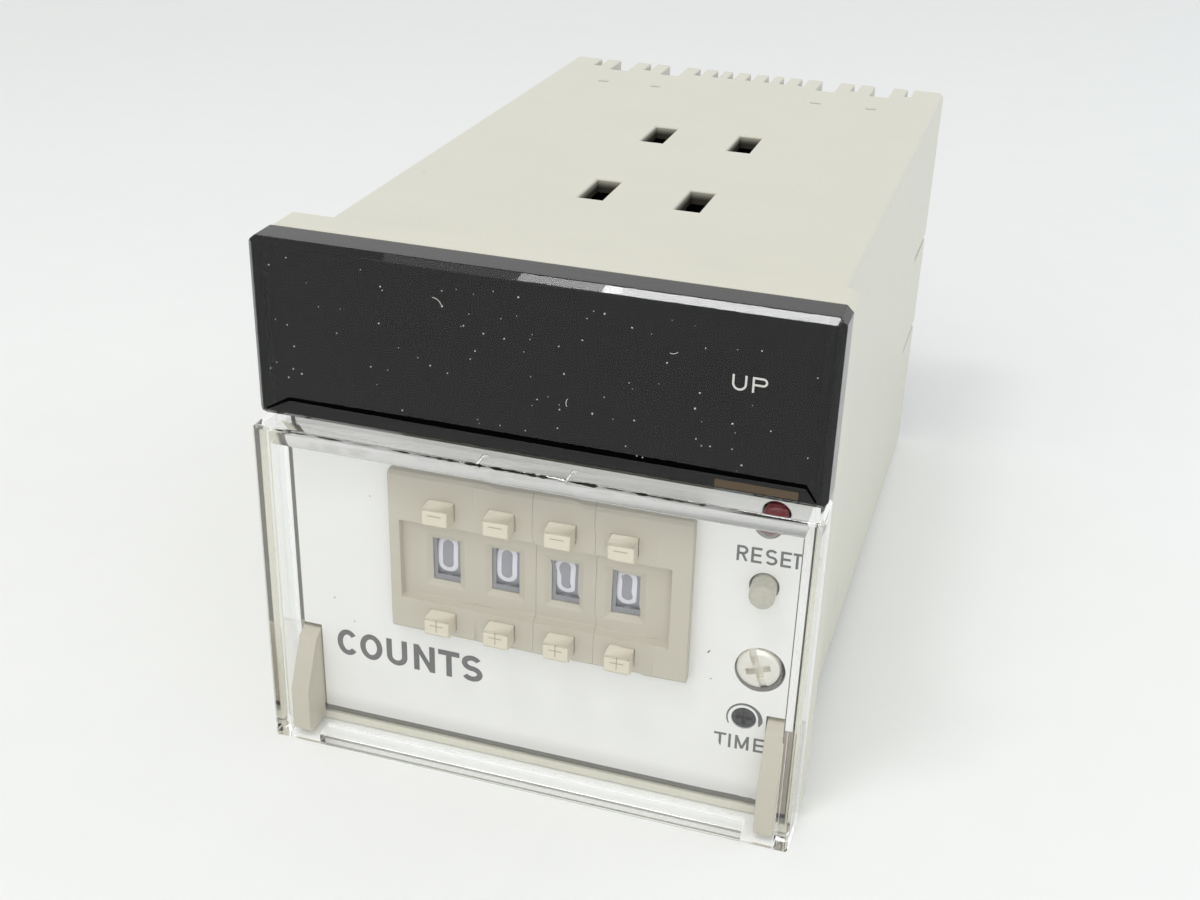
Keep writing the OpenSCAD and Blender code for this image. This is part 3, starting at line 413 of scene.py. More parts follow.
def new_material(name):
    """Material with an empty tree, its Principled shader and its output."""
    material = bpy.data.materials.new(name)
    material.use_nodes = True
    tree = material.node_tree
    tree.nodes.clear()
    shader = tree.nodes.new("ShaderNodeBsdfPrincipled")
    leave = add_node(tree, "ShaderNodeOutputMaterial", Surface=shader.outputs[0])
    return material, tree, shader, leave


def soiled(tree, shade, mask, strength):
    """Colour darkened towards the dirt colour where a mask says: dirt, scratches or painted shade."""
    dirt = tuple(bpy.context.scene.counter_colours.dirt)
    return blend(tree, math_node(tree, "MULTIPLY", mask, strength), shade, dirt)


def moulded(name, colour, roughness=0.4, blotch=0.02, grain=4000.0, depth=0.01, specks=None, scuffs=None,
            metallic=0.0, tracks=None, specular=0.5, painted_shade=None):
    """Opaque material on the shared skin. specks holds the scale, share, size and strength of spots of dirt;
    scuffs the scale, width, patch and strength of scratches and the place along X in millimetres beyond
    which they show; tracks a second colour; the last, a painted shade in the dirt colour, gives the two
    heights in millimetres over which it dies away, and its strength."""
    name = f"counter_{name}"
    material = bpy.data.materials.get(name)
    if material:
        return material
    material, tree, shader, _ = new_material(name)
    skin = group_node(tree, "moulded_skin", Colour=tuple(colour), Blotch=blotch, Roughness=roughness,
                      Grain=grain)
    shade = skin["Colour"]
    if tracks:
        shade = blend(tree, group_node(tree, "board_tracks")["Mask"], shade, tuple(tracks))
    if specks:
        scale, share, size, strength = specks
        spots = group_node(tree, "sparse_specks", Scale=scale, Share=share, Size=size)
        shade = soiled(tree, shade, spots["Mask"], strength)
    if scuffs:
        scale, width, patch, strength, start = scuffs
        hairs = group_node(tree, "hair_scratches", Scale=scale, Width=width, Patch=patch)
        beyond = ramp(tree, along(tree, "X"), (start - SCUFF_ONSET) * MM, start * MM)
        shade = soiled(tree, shade, math_node(tree, "MULTIPLY", hairs["Mask"], beyond), strength)
    # Painted shade: darker towards one height
    if painted_shade:
        shaded_z, unshaded_z, strength = painted_shade
        mask = ramp(tree, along(tree, "Z"), shaded_z * MM, unshaded_z * MM, 1.0, 0.0)
        shade = soiled(tree, shade, mask, strength)
    bump = add_node(tree, "ShaderNodeBump", Strength=0.35, Distance=depth * MM, Height=skin["Height"])
    feed_all(tree, shader, Base_Color=shade, Roughness=skin["Roughness"], Metallic=metallic,
             Specular_IOR_Level=specular, Normal=bump.outputs[0])
    return material


def clear_material():
    """Clear acrylic; shadows, diffuse light and light caught by repeated inner reflections pass straight
    through it."""
    material, tree, shader, leave = new_material("counter_clear_acrylic")
    feed_all(tree, shader, Base_Color=(0.985, 0.99, 0.99), Transmission_Weight=1, IOR=1.49, Roughness=0)
    path = tree.nodes.new("ShaderNodeLightPath").outputs
    caught = math_node(tree, "GREATER_THAN", path["Glossy Depth"], 1.5)
    through = math_node(tree, "MAXIMUM", path["Is Shadow Ray"], path["Is Diffuse Ray"])
    through = math_node(tree, "MAXIMUM", through, caught)
    bare = tree.nodes.new("ShaderNodeBsdfTransparent")
    feed_all(tree, leave, Surface=mixed_shader(tree, through, shader, bare))
    return material


def smoked_material():
    """Smoked acrylic: clear at the surface, with light taken up brown in the thickness."""
    material, tree, shader, leave = new_material("counter_smoked_acrylic")
    feed_all(tree, shader, Base_Color=(0.9, 0.82, 0.76), Transmission_Weight=1, IOR=1.43, Roughness=0.015)
    smoke = add_node(tree, "ShaderNodeVolumeAbsorption", Color=(0.42, 0.27, 0.16), Density=8500.0)
    feed_all(tree, leave, Volume=smoke.outputs[0])
    return material


def lamp_material(colour, rim, low, high):
    """Red lens: tinted gloss that turns to painted shade in the rim colour from one height in millimetres
    down to another."""
    material, tree, shader, _ = new_material("counter_lamp_red")
    skin = group_node(tree, "moulded_skin", Colour=tuple(colour), Blotch=0.04, Roughness=0.16, Grain=900.0)
    mask = ramp(tree, along(tree, "Z"), low * MM, high * MM, 0.9, 0.0)
    feed_all(tree, shader, Base_Color=blend(tree, mask, skin["Colour"], tuple(rim)),
             Roughness=skin["Roughness"], Coat_Weight=0.4)
    return material


def mark_material(name, colour, roughness=0.45, specular=0.5):
    """Printed lettering, filled engraving, soiling, painted shade or a painted reflection, slightly uneven.
    """
    return moulded(name, colour, roughness, blotch=0.03, grain=2500.0, depth=0.004, specular=specular)


def gap_grey(colours):
    """Painted grey shade in the gaps of the front."""
    return mark_material("gap_shade_strip", colours.gap, roughness=0.7)


def dry_dirt(colours):
    """Dark dried dirt."""
    return mark_material("edge_dirt", colours.dirt, roughness=0.8)


def black_plastic(colours):
    """Matt black moulding."""
    return moulded("black_plastic", colours.black, roughness=0.45, blotch=0.03, grain=3600.0, depth=0.01)


def nickel_steel(colours):
    """Dull nickel plating."""
    return moulded("nickel_steel", colours.nickel, roughness=0.38, blotch=0.03, grain=2200.0, depth=0.004,
                   metallic=0.55)


def mm_box(node):
    """Lowest and highest corner of a CAD node in millimetres."""
    low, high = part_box(node)
    return np.array(low) / MM, np.array(high) / MM


def mm_middle(node):
    """Middle of a CAD node's box in millimetres."""
    low, high = mm_box(node)
    return (low + high) / 2


def mm_half(node, axis):
    """Half of a CAD node's extent along an axis, in millimetres."""
    low, high = mm_box(node)
    return (high[axis] - low[axis]) / 2


def numbered(name):
    """Names of what repeats for every digit."""
    return [f"{name}_{k + 1}" for k in range(DIGITS)]


def body_for(node):
    """Name of the body that a CAD node belongs to."""
    return next(name for name, nodes in frame["record"]["behaviour"]["bodies"].items() if node in nodes)


def grid_faces(rows, columns, wrap_rows=False, wrap_columns=False):
    """Quads of a grid of points; a wrapped direction joins its last line to its first."""
    i = np.arange(rows if wrap_rows else rows - 1)[:, None]
    j = np.arange(columns if wrap_columns else columns - 1)[None, :]
    after_i, after_j = (i + 1) % rows, (j + 1) % columns
    corners = (i * columns + j, i * columns + after_j, after_i * columns + after_j, after_i * columns + j)
    return np.stack(corners, axis=-1).reshape(-1, 4)


def placed(name, mesh, material, node):
    """Object at the origin that shows a mesh in a material and rides a CAD node's body."""
    piece = bpy.data.objects.new(name, mesh)
    bpy.context.scene.collection.objects.link(piece)
    mesh.materials.append(material)
    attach(piece, body_for(node))
    return piece


def new_piece(name, points, faces, material, node, finish_of=None):
    """Closed mesh object from points in millimetres, welded, with its faces turned outwards."""
    mesh = bpy.data.meshes.new(name)
    mesh.from_pydata((np.asarray(points) * MM).tolist(), [], np.asarray(faces).tolist())
    shape = bmesh.new()
    shape.from_mesh(mesh)
    bmesh.ops.remove_doubles(shape, verts=shape.verts, dist=1e-7)
    bmesh.ops.recalc_face_normals(shape, faces=shape.faces)
    shape.to_mesh(mesh)
    shape.free()
    mesh.validate()
    return placed(name, mesh, material, node)


def smooth(piece, angle=35):
    """Shade a piece smooth except across edges sharper than an angle in degrees."""
    piece.data.shade_smooth()
    piece.data.set_sharp_from_angle(angle=math.radians(angle))
    return piece


def turned_piece(name, node, profile, material, steps=72):
    """Surface of revolution for a CAD node: a profile of (radius, y) carried round the node's middle line
    along Y, each point moving on the circle of its radius."""
    middle = mm_middle(node)
    angle = np.linspace(0, 2 * np.pi, steps, endpoint=False)
    radius, y = np.asarray(profile, float).T
    x = middle[0] + radius[:, None] * np.cos(angle)
    z = middle[2] + radius[:, None] * np.sin(angle)
    points = np.stack([x, np.broadcast_to(y[:, None], x.shape), z], axis=-1).reshape(-1, 3)
    piece = new_piece(name, points, grid_faces(len(radius), steps, wrap_columns=True), material, node)
    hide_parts(node)
    return smooth(piece)


def read(items, label, kind, width=1):
    """One property of all items as rows of an array."""
    values = np.empty(len(items) * width, kind)
    items.foreach_get(label, values)
    return values.reshape(-1, width)


def edge_facts(mesh):
    """Middle of each edge in millimetres and the angle between its two faces in degrees."""
    sizes = read(mesh.polygons, "loop_total", np.int32)[:, 0]
    normals = np.repeat(read(mesh.polygons, "normal", np.float32, 3), sizes, axis=0)
    edge_of = read(mesh.loops, "edge_index", np.int32)[:, 0]
    order = np.argsort(edge_of, kind="stable")
    edges, first, uses = np.unique(edge_of[order], return_index=True, return_counts=True)
    paired = uses == 2
    one, two = normals[order[first[paired]]], normals[order[first[paired] + 1]]
    angle = np.zeros(len(mesh.edges))
    angle[edges[paired]] = np.degrees(np.arccos(np.clip((one * two).sum(axis=1), -1, 1)))
    ends = read(mesh.edges, "vertices", np.int32, 2)
    return read(mesh.vertices, "co", np.float32, 3)[ends].mean(axis=1) / MM, angle


def rounded_copy(node, name, width, material, weigh=None, segments=2, sharp=30):
    """A CAD node's shape with rounded edges: a copy of its mesh, welded, with a bevel on edges sharper than
    an angle in degrees. weigh gives each edge's share of the width from the edge middles in millimetres."""
    shape = bmesh.new()
    shape.from_mesh(frame["nodes"][node].data)
    bmesh.ops.remove_doubles(shape, verts=shape.verts, dist=2e-6)
    bmesh.ops.dissolve_limit(shape, angle_limit=math.radians(1), verts=shape.verts, edges=shape.edges)
    mesh = bpy.data.meshes.new(name)
    shape.to_mesh(mesh)
    shape.free()
    middle, angle = edge_facts(mesh)
    weight = np.where(angle > sharp, 1.0, 0.0)
    if weigh is not None:
        weight *= weigh(middle)
    shares = mesh.attributes.new("bevel_weight_edge", "FLOAT", "EDGE")
    shares.data.foreach_set("value", weight.astype(np.float32))
    piece = smooth(placed(name, mesh, material, node), sharp)
    bevel = piece.modifiers.new("rounded edges", "BEVEL")
    bevel.limit_method = "WEIGHT"
    bevel.width = width
    bevel.segments = segments
    bevel.use_clamp_overlap = False
    bevel.harden_normals = True
    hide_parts(node)
    return piece


def front_edges(node, depth):
    """Edge weighing that rounds only what lies within a depth of a CAD node's front."""
    limit = mm_box(node)[0][1] + depth
    return lambda middle: np.where(middle[:, 1] < limit, 1.0, 0.0)


def switch_edges(node, seam):
    """Edge weighing for a piece of the preset switch: its front edges count in full, edges on the open seams
    by a share, and edges on closed seams and at the buttons' openings not at all."""
    ends = {mm_box("switch_end_left")[0][0], mm_box("switch_end_right")[1][0]}
    seams = {side[0] for side in mm_box(node)} - ends
    open_seams = [mm_box(module)[1][0] for module in numbered("digit_module")[1:3]]
    buttons = [mm_box(button) for kind in ("minus", "plus") for button in numbered(f"{kind}_button")]
    at_front = front_edges(node, SWITCH_DEPTH)

    def weigh(middle):
        weight, spots = at_front(middle), middle[:, [0, 2]]
        for side in seams:
            is_open = any(abs(side - place) < TOUCH for place in open_seams)
            weight[np.abs(middle[:, 0] - side) < TOUCH] *= seam if is_open else 0.0
        for low, high in buttons:
            above, below = spots > low[[0, 2]] - BUTTON_MARGIN, spots < high[[0, 2]] + BUTTON_MARGIN
            weight[(above & below).all(axis=1)] = 0
        return weight

    return weigh


def finish(nodes, material):
    """Give CAD nodes that stay a material."""
    for node in nodes:
        shown = frame["nodes"][node]
        if not shown.material_slots:
            shown.data.materials.append(material)
        for place in shown.material_slots:
            place.material = material


def arc(cx, cy, rx, ry, start, end, steps=28):
    """Points of an elliptic arc, angles in degrees."""
    angle = np.radians(np.linspace(start, end, steps))
    return np.stack([cx + rx * np.cos(angle), cy + ry * np.sin(angle)], axis=1)


def line(*points):
    """Points of a straight or broken line."""
    return np.array(points, float)


def joined(*paths):
    """One path from several in a row."""
    return np.concatenate(paths)


def sign_lines(sign, w, h, s):
    """Centre lines of a capital, figure or plain sign in a box of width w and height h, inset by half the
    stroke s."""
    l, r, b, t = s / 2, w - s / 2, s / 2, h - s / 2
    cx, cy, rx, ry = w / 2, h / 2, (w - s) / 2, (h - s) / 2
    q = ry / 2
    stem = line((l, 0), (l, h))
    roof = line((0, t), (w, t))
    bowl = joined(line((l, t), (r - q, t)), arc(r - q, t - q, q, q, 90, -90), line((l, cy)))
    lines = {
        "C": lambda: [arc(cx, cy, rx, ry, 40, 320)],
        "O": lambda: [arc(cx, cy, rx, ry, 0, 360, 48)],
        "U": lambda: [joined(line((l, h)), arc(cx, b + rx, rx, rx, 180, 360), line((r, h)))],
        "N": lambda: [stem, line((l, h), (r, 0)), line((r, 0), (r, h))],
        "T": lambda: [roof, line((cx, 0), (cx, h))],
        "S": lambda: [joined(arc(cx, t - q, rx * 0.94, q, 28, 262), arc(cx, b + q, rx, q, 82, -152))],
        "R": lambda: [stem, bowl, line((cx, cy), (r, 0))],
        "P": lambda: [stem, bowl],
        "E": lambda: [stem, line((l, t), (w, t)), line((l, cy), (w * 0.93, cy)), line((l, b), (w, b))],
        "I": lambda: [line((cx, 0), (cx, h))],
        "M": lambda: [stem, line((l, h), (cx, b)), line((cx, b), (r, h)), line((r, 0), (r, h))],
        "0": lambda: [joined(arc(cx, t - rx, rx, rx, 0, 180), arc(cx, b + rx, rx, rx, 180, 360),
                             line((r, t - rx)))],
        "1": lambda: [line((cx, 0), (cx, h)), line((l, t - rx), (cx, t))],
        "2": lambda: [joined(arc(cx, t - rx, rx, rx, 170, -30), line((l, b))), line((0, b), (w, b))],
        "3": lambda: [arc(cx, t - q, rx, q, 150, -90), arc(cx, b + q, rx, q, 90, -150)],
        "4": lambda: [line((r - l, 0), (r - l, h)), line((r - s, h), (l, h * 0.3)),
                      line((0, h * 0.3), (w, h * 0.3))],
        "5": lambda: [line((l, t), (w, t)), line((l, t), (l, cy)),
                      joined(line((l, cy)), arc(cx, b + rx, rx, rx, 120, -150))],
        "6": lambda: [arc(cx, b + rx, rx, rx, 0, 360, 40),
                      joined(line((l, b + rx)), arc(cx, t - rx, rx, rx, 180, 30))],
        "7": lambda: [roof, line((r, t), (w * 0.35, 0))],
        "8": lambda: [arc(cx, t - q, rx * 0.9, q, 0, 360, 40), arc(cx, b + q, rx, q, 0, 360, 40)],
        "9": lambda: [arc(cx, t - rx, rx, rx, 0, 360, 40),
                      joined(line((r, t - rx)), arc(cx, b + rx, rx, rx, 0, -150))],
        "-": lambda: [line((0, cy), (w, cy))],
        "+": lambda: [line((0, cy), (w, cy)), line((cx, 0), (cx, h))],
    }
    return lines[sign]()


def ribbon(path, width, height):
    """Flat bar carried along a path in its plane: each point is moved half the width to both sides along
    the path's normal, and the section is closed by the height. Returns points (u, v, height) and faces."""
    shut = len(path) > 3 and np.allclose(path[0], path[-1])
    path = path[:-1] if shut else path
    along_path = np.roll(path, -1, axis=0) - np.roll(path, 1, axis=0) if shut else np.gradient(path, axis=0)
    along_path /= np.linalg.norm(along_path, axis=1, keepdims=True)
    half = np.broadcast_to(width, len(path)) / 2
    side = np.stack([-along_path[:, 1], along_path[:, 0]], axis=1) * half[:, None]
    flat = np.stack([path - side, path - side, path + side, path + side], axis=1)
    level = np.broadcast_to(np.array((0, height, height, 0))[None, :, None], (len(path), 4, 1))
    points = np.concatenate([flat, level], axis=2).reshape(-1, 3)
    faces = grid_faces(len(path), 4, wrap_rows=shut, wrap_columns=True)
    if not shut:
        last = len(path) * 4 - 4
        faces = np.concatenate([faces, [[0, 1, 2, 3], [last + 3, last + 2, last + 1, last]]])
    return points, faces


def fine(path, step=0.25):
    """Path with extra points so that no part is longer than a step, for wrapping round a drum."""
    spans = np.linalg.norm(np.diff(path, axis=0), axis=1)
    travelled = np.concatenate([[0], np.cumsum(spans)])
    count = max(2, int(np.ceil(travelled[-1] / step)) + 1)
    at = np.unique(np.concatenate([np.linspace(0, travelled[-1], count), travelled]))
    return np.stack([np.interp(at, travelled, path[:, k]) for k in range(2)], axis=1)


def together(solids):
    """Several sets of points and faces as one."""
    starts = np.cumsum([0] + [len(points) for points, _ in solids[:-1]])
    return (np.concatenate([points for points, _ in solids]),
            np.concatenate([faces + start for (_, faces), start in zip(solids, starts)]))


def sign_solid(sign, w, h, s, height, split=False):
    """Points and faces of one sign: a ribbon along each centre line, kept between foot and head lines. Each
    ribbon stands a tenth higher than the one before, so that no two faces coincide."""
    solids = []
    for k, path in enumerate(sign_lines(sign, w, h, s)):
        points, faces = ribbon(fine(path) if split else path, s, height * (1 + 0.1 * k))
        points[:, :2] = np.clip(points[:, :2], 0, (w, h))
        solids.append((points, faces))
    return together(solids)


def word(text, stroke, height):
    """Points and faces of a listed word, each sign set on the base line at its start."""
    starts, widths, base, cap = WORDS[text]
    solids = []
    for sign, start, width in zip(text, starts, widths):
        points, faces = sign_solid(sign, width, cap - base, stroke, height)
        solids.append((points + (start, base, 0), faces))
    return together(solids)


def bar(low, high):
    """Points and faces of a box between two corners: every choice of low or high on each axis."""
    return np.where(BOX_CORNERS, high, low).astype(float), BOX_FACES


def liner(low, high, skin):
    """Boxes of four walls that line a shaft between two corners: two across X, two between them across Y."""
    (x0, y0, z0), (x1, y1, z1) = low, high
    return [bar((x0, y0, z0), (x0 + skin, y1, z1)), bar((x1 - skin, y0, z0), (x1, y1, z1)),
            bar((x0 + skin, y0, z0), (x1 - skin, y0 + skin, z1)),
            bar((x0 + skin, y1 - skin, z0), (x1 - skin, y1, z1))]


def on_plane(points, origin, up):
    """Points (u, v, height) laid on a plane through an origin: u goes along X, v along the given direction
    and height along the normal of both."""
    across, up = np.array((1.0, 0, 0)), np.array(up, float)
    return np.array(origin) + points @ np.stack([across, up, np.cross(across, up)])


def on_front(points, y):
    """Points (u, v, height) laid on a face at y that looks towards -Y."""
    return on_plane(points, (0, y, 0), (0, 0, 1))


def on_drum(points, middle, radius, turn):
    """Points (u, v, height) wrapped round a drum along X: v runs up its front, turned by an angle."""
    angle = points[:, 1] / radius + turn
    reach = radius + points[:, 2]
    return np.stack([middle[0] + points[:, 0], middle[1] - reach * np.cos(angle),
                     middle[2] + reach * np.sin(angle)], axis=1)


def broken_line(start, end, count, width, height, seed):
    """Tapering dashes in a row: each is a ribbon whose width follows half a sine over its length, and its
    place, length and strength are drawn from a seeded series."""
    draw = np.random.default_rng(seed)
    share = np.linspace(0.03, 0.97, 11)
    places = np.sort(draw.uniform(start, end, count))
    spans = draw.uniform(0.5, 2.2, count) * (end - start) / count
    strengths = draw.uniform(0.35, 1.0, count)
    waves = draw.normal(0, 0.02, (count, len(share)))
    return together([ribbon(np.stack([place + span * share, wave], axis=1),
                            width * strength * np.sin(np.pi * share), height)
                     for place, span, strength, wave in zip(places, spans, strengths, waves)])


def plates(middle, angle, reach, height):
    """Four-sided plates: corners at given angles and distances round each middle, doubled at the height."""
    flat = middle[:, None, :] + reach[..., None] * np.stack([np.cos(angle), np.sin(angle)], axis=-1)
    level = np.broadcast_to(np.array((0, height))[None, :, None, None], (len(middle), 2, 4, 1))
    points = np.concatenate([np.repeat(flat[:, None], 2, axis=1), level], axis=-1).reshape(-1, 3)
    faces = (np.arange(len(middle)) * 8)[:, None, None] + BOX_FACES
    return points, faces.reshape(-1, 4)


def flakes(low, high, count, size, height, seed):
    """Small four-sided plates scattered over a rectangle: each corner stands at its own seeded distance
    from the plate's middle, and the plate is closed by the height."""
    draw = np.random.default_rng(seed)
    middle = draw.uniform(low, high, (count, 2))
    angle = QUARTERS + draw.uniform(0, np.pi, (count, 1))
    reach = size * draw.uniform(0.4, 1.0, (count, 1)) * draw.uniform(0.5, 1.0, (count, 4))
    return plates(middle, angle, reach, height)


class COUNTER_OT_case_shell(bpy.types.Operator):
    """Cream case with rounded edges and liners with painted shade in its upper vents"""

    bl_idname = "counter.case_shell"
    bl_label = "Case Shell"

    def execute(self, context):
        colours, edges = settings(context)
        cream = moulded("case_cream", colours.case, roughness=0.32, blotch=0.014, grain=3500.0, depth=0.012,
                        specks=(330, 0.05, 0.07, 0.5), scuffs=(260, 0.004, 0.62, 0.4, BODY_HALF),
                        specular=0.6)
        rounded_copy("case", "case_shell", edges.case, cream, segments=3)
        wide, deep = np.array(VENT_SIZE) / 2
        rim = BODY_HALF - edges.case / MM
        walls = [wall for x in VENT_X for y in VENT_Y
                 for wall in liner((x - wide, y - deep, CAVITY_HALF), (x + wide, y + deep, rim), VENT_SKIN)]
        # Painted shade on the vent walls, darkest deep in the vents
        shaded = moulded("vent_shade", colours.case, roughness=0.6, blotch=0.014, grain=3500.0, depth=0.012,
                         specular=0.2, painted_shade=(CAVITY_HALF + VENT_DARK, BODY_HALF + VENT_UNSHADED, 0.97))
        new_piece("vent_shade_liners", *together(walls), shaded, "case")
        return {"FINISHED"}


class COUNTER_OT_display_window(bpy.types.Operator):
    """Smoked display window with its label, painted shade line, painted warm reflection and dust"""

    bl_idname = "counter.display_window"
    bl_label = "Display Window"

    def execute(self, context):
        colours, edges = settings(context)
        rounded_copy("display_window", "window_block", edges.window, smoked_material(), segments=3)
        (left, front, base), (right, _, top) = mm_box("display_window")
        ink = edges.ink / MM
        foot, run, reflection_z = base + FRAME_FOOT, base + FRAME_RUN, base + GLOW_RISE
        # Painted shade: a dark line low in the window
        painted_shade_line = line((left + FRAME_ENDS, foot), (left + FRAME_LEFT_BEND, run),
                          *((x, run) for x in FRAME_STRAIGHT),
                          (right - FRAME_RIGHT_BEND, run), (right - FRAME_ENDS, foot))
        threads = [ribbon(arc(x, z, reach, reach, turn, turn + THREAD_SWEEP, THREAD_STEPS), THREAD_WIDTH, ink)
                   for x, z, reach, turn in THREADS]
        dust = flakes((left + DUST_LOW[0], base + DUST_LOW[1]), (right - DUST_HIGH[0], top - DUST_HIGH[1]),
                      DUST_COUNT, DUST_SIZE, ink, DUST_SEED)
        marks = {
            "window_label": (word("UP", edges.window_stroke / MM, ink),
                             mark_material("window_print", colours.window_print)),
            "window_shade_line": (ribbon(painted_shade_line, FRAME_WIDTHS, ink / 2),
                                  mark_material("window_shade", colours.shade, roughness=0.9, specular=0.0)),
            # Painted warm reflection: a strip low in the window
            "window_reflection_strip": (ribbon(line(*((x, reflection_z) for x in GLOW_X)), GLOW_HEIGHT, ink),
                            mark_material("window_khaki", colours.khaki, roughness=0.6, specular=0.2)),
            "window_dust": (together([dust, *threads]),
                            mark_material("window_dust", colours.dust, roughness=0.8)),
        }
        for name, ((points, faces), material) in marks.items():
            smooth(new_piece(name, on_front(points, front), faces, material, "display_window"))
        return {"FINISHED"}


class COUNTER_OT_front_cover(bpy.types.Operator):
    """Clear hinged cover with dirt along its front top edge and a painted refraction line in its right inner
    corner
    """

    bl_idname = "counter.front_cover"
    bl_label = "Front Cover"

    def execute(self, context):
        colours, edges = settings(context)
        rounded_copy("front_cover", "cover_shell", edges.cover, clear_material(), segments=3)
        low, high = mm_box("front_cover")
        points, faces = together([broken_line(start, end, count, width, edges.ink / MM, seed)
                                  for start, end, count, width, seed in DIRT_ROWS])
        place = (0, low[1] + DIRT_INSET, high[2] - DIRT_INSET)
        slope = (0, math.sqrt(0.5), math.sqrt(0.5))
        points = on_plane(points, place, slope)
        smooth(new_piece("edge_dirt", points, faces, dry_dirt(colours), "front_cover"))
        # Painted dark line standing for refraction at the cover's right inner corner
        x, y = mm_box("faceplate")[1][0] + CORNER_BEYOND, low[1] + CORNER_BEHIND
        foot, head = mm_box("hinge_arm_right")[1][2] + CORNER_FOOT, high[2] - CORNER_HEAD
        new_piece("corner_shade_line", *bar((x - CORNER_THICK, y, foot), (x, y + CORNER_THICK, head)),
                  mark_material("corner_shade_line", colours.gap, roughness=0.7), "front_cover")
        return {"FINISHED"}


class COUNTER_OT_hinge_arms(bpy.types.Operator):
    """Hinge arms with rounded edges"""

    bl_idname = "counter.hinge_arms"
    bl_label = "Hinge Arms"

    def execute(self, context):
        colours, edges = settings(context)
        cream = moulded("arm_cream", colours.arm, roughness=0.42, blotch=0.02, grain=3500.0, depth=0.01,
                        specks=(420, 0.05, 0.06, 0.4))
        for side in ("left", "right"):
            rounded_copy(f"hinge_arm_{side}", f"arm_{side}", edges.arm, cream)
        return {"FINISHED"}


class COUNTER_OT_faceplate(bpy.types.Operator):
    """Faceplate with strips of painted shade in the gaps round it and the white bar at its right edge"""

    bl_idname = "counter.faceplate"
    bl_label = "Faceplate"

    def execute(self, context):
        colours, edges = settings(context)
        low, high = mm_box("faceplate")
        # Painted shade: the faceplate darkens towards its foot
        white = moulded("face_white", colours.plate, roughness=0.38, blotch=0.01, grain=2600.0, depth=0.004,
                        specks=(260, 0.08, 0.06, 0.6), painted_shade=(low[2], low[2] + FACE_FADE, 0.22))
        rounded_copy("faceplate", "face_panel", edges.plate, white,
                     lambda middle: np.where(middle[:, 0] < high[0] - FACE_SIDE, 1.0, 0.0))
        near, far = mm_box("chassis")
        arm_low, arm_high = mm_box("hinge_arm_right")
        front, seat, above = low[1] + STRIP_DEPTH, near[1], arm_high[2] + STRIP_ABOVE
        # Painted shade: grey strips in the gaps left of and below the faceplate
        strips = [bar((near[0], front, above), (low[0], seat, high[2])),
                  bar((-arm_low[0], front, near[2]), (arm_low[0], seat, low[2]))]
        new_piece("gap_shade_strips", *together(strips), gap_grey(colours), "faceplate", "chassis")
        # Painted shade in the gaps beside the hinge arms
        outer = arm_high[0] + STRIP_BESIDE
        beside = [bar((start, front, low[2]), (end, seat, above))
                  for start, end in ((near[0], -outer), (outer, far[0]))]
        new_piece("arm_gap_shade_strips", *together(beside),
                  mark_material("arm_gap_shade_strip", colours.arm_gap, roughness=0.6), "faceplate", "chassis")
        new_piece("face_edge", *bar((high[0], low[1], above), (far[0] - EDGE_SHORT, seat, high[2])), white,
                  "faceplate")
        return {"FINISHED"}


class COUNTER_OT_face_marks(bpy.types.Operator):
    """Printed words and trimmer arrow, painted shadow round the lock screw and specks on the faceplate"""

    bl_idname = "counter.face_marks"
    bl_label = "Face Marks"

    def execute(self, context):
        colours, edges = settings(context)
        ink, small, bold = (size / MM for size in (edges.ink, edges.label_stroke, edges.bold_stroke))
        x, _, z = mm_middle("time_trimmer")
        widths = np.interp(np.arange(ARROW_STEPS), *ARROW_WIDTHS)
        arrow = ribbon(arc(x, z, ARROW_R, ARROW_R, *ARROW_SWEEP, ARROW_STEPS), widths, ink)
        printed = [word("COUNTS", bold, ink), word("RESET", small, ink), word("TIME", small, ink), arrow]
        # Painted shadow: a dark crescent round the lock screw
        x, _, z = mm_middle("lock_screw") + SCREW_GAP_MOVE
        reach = mm_half("lock_screw", 0)
        swell = SCREW_GAP_WIDTH * np.sin(np.linspace(0.1, math.pi - 0.1, SCREW_GAP_STEPS))
        gap = ribbon(arc(x, z, reach, reach, *SCREW_GAP_SWEEP, SCREW_GAP_STEPS), swell, ink)
        specks = plates(FACE_SPECKS[:, :2], QUARTERS + FACE_SPECKS[:, 2:3], FACE_SPECKS[:, 3:], ink)
        marks = {
            "face_lettering": (together(printed), mark_material("face_print", colours.print_grey)),
            "screw_shadow": (gap, gap_grey(colours)),
            "face_specks": (specks, dry_dirt(colours)),
        }
        front = mm_box("faceplate")[0][1]
        for name, ((points, faces), material) in marks.items():
            smooth(new_piece(name, on_front(points, front), faces, material, "faceplate"))
        return {"FINISHED"}


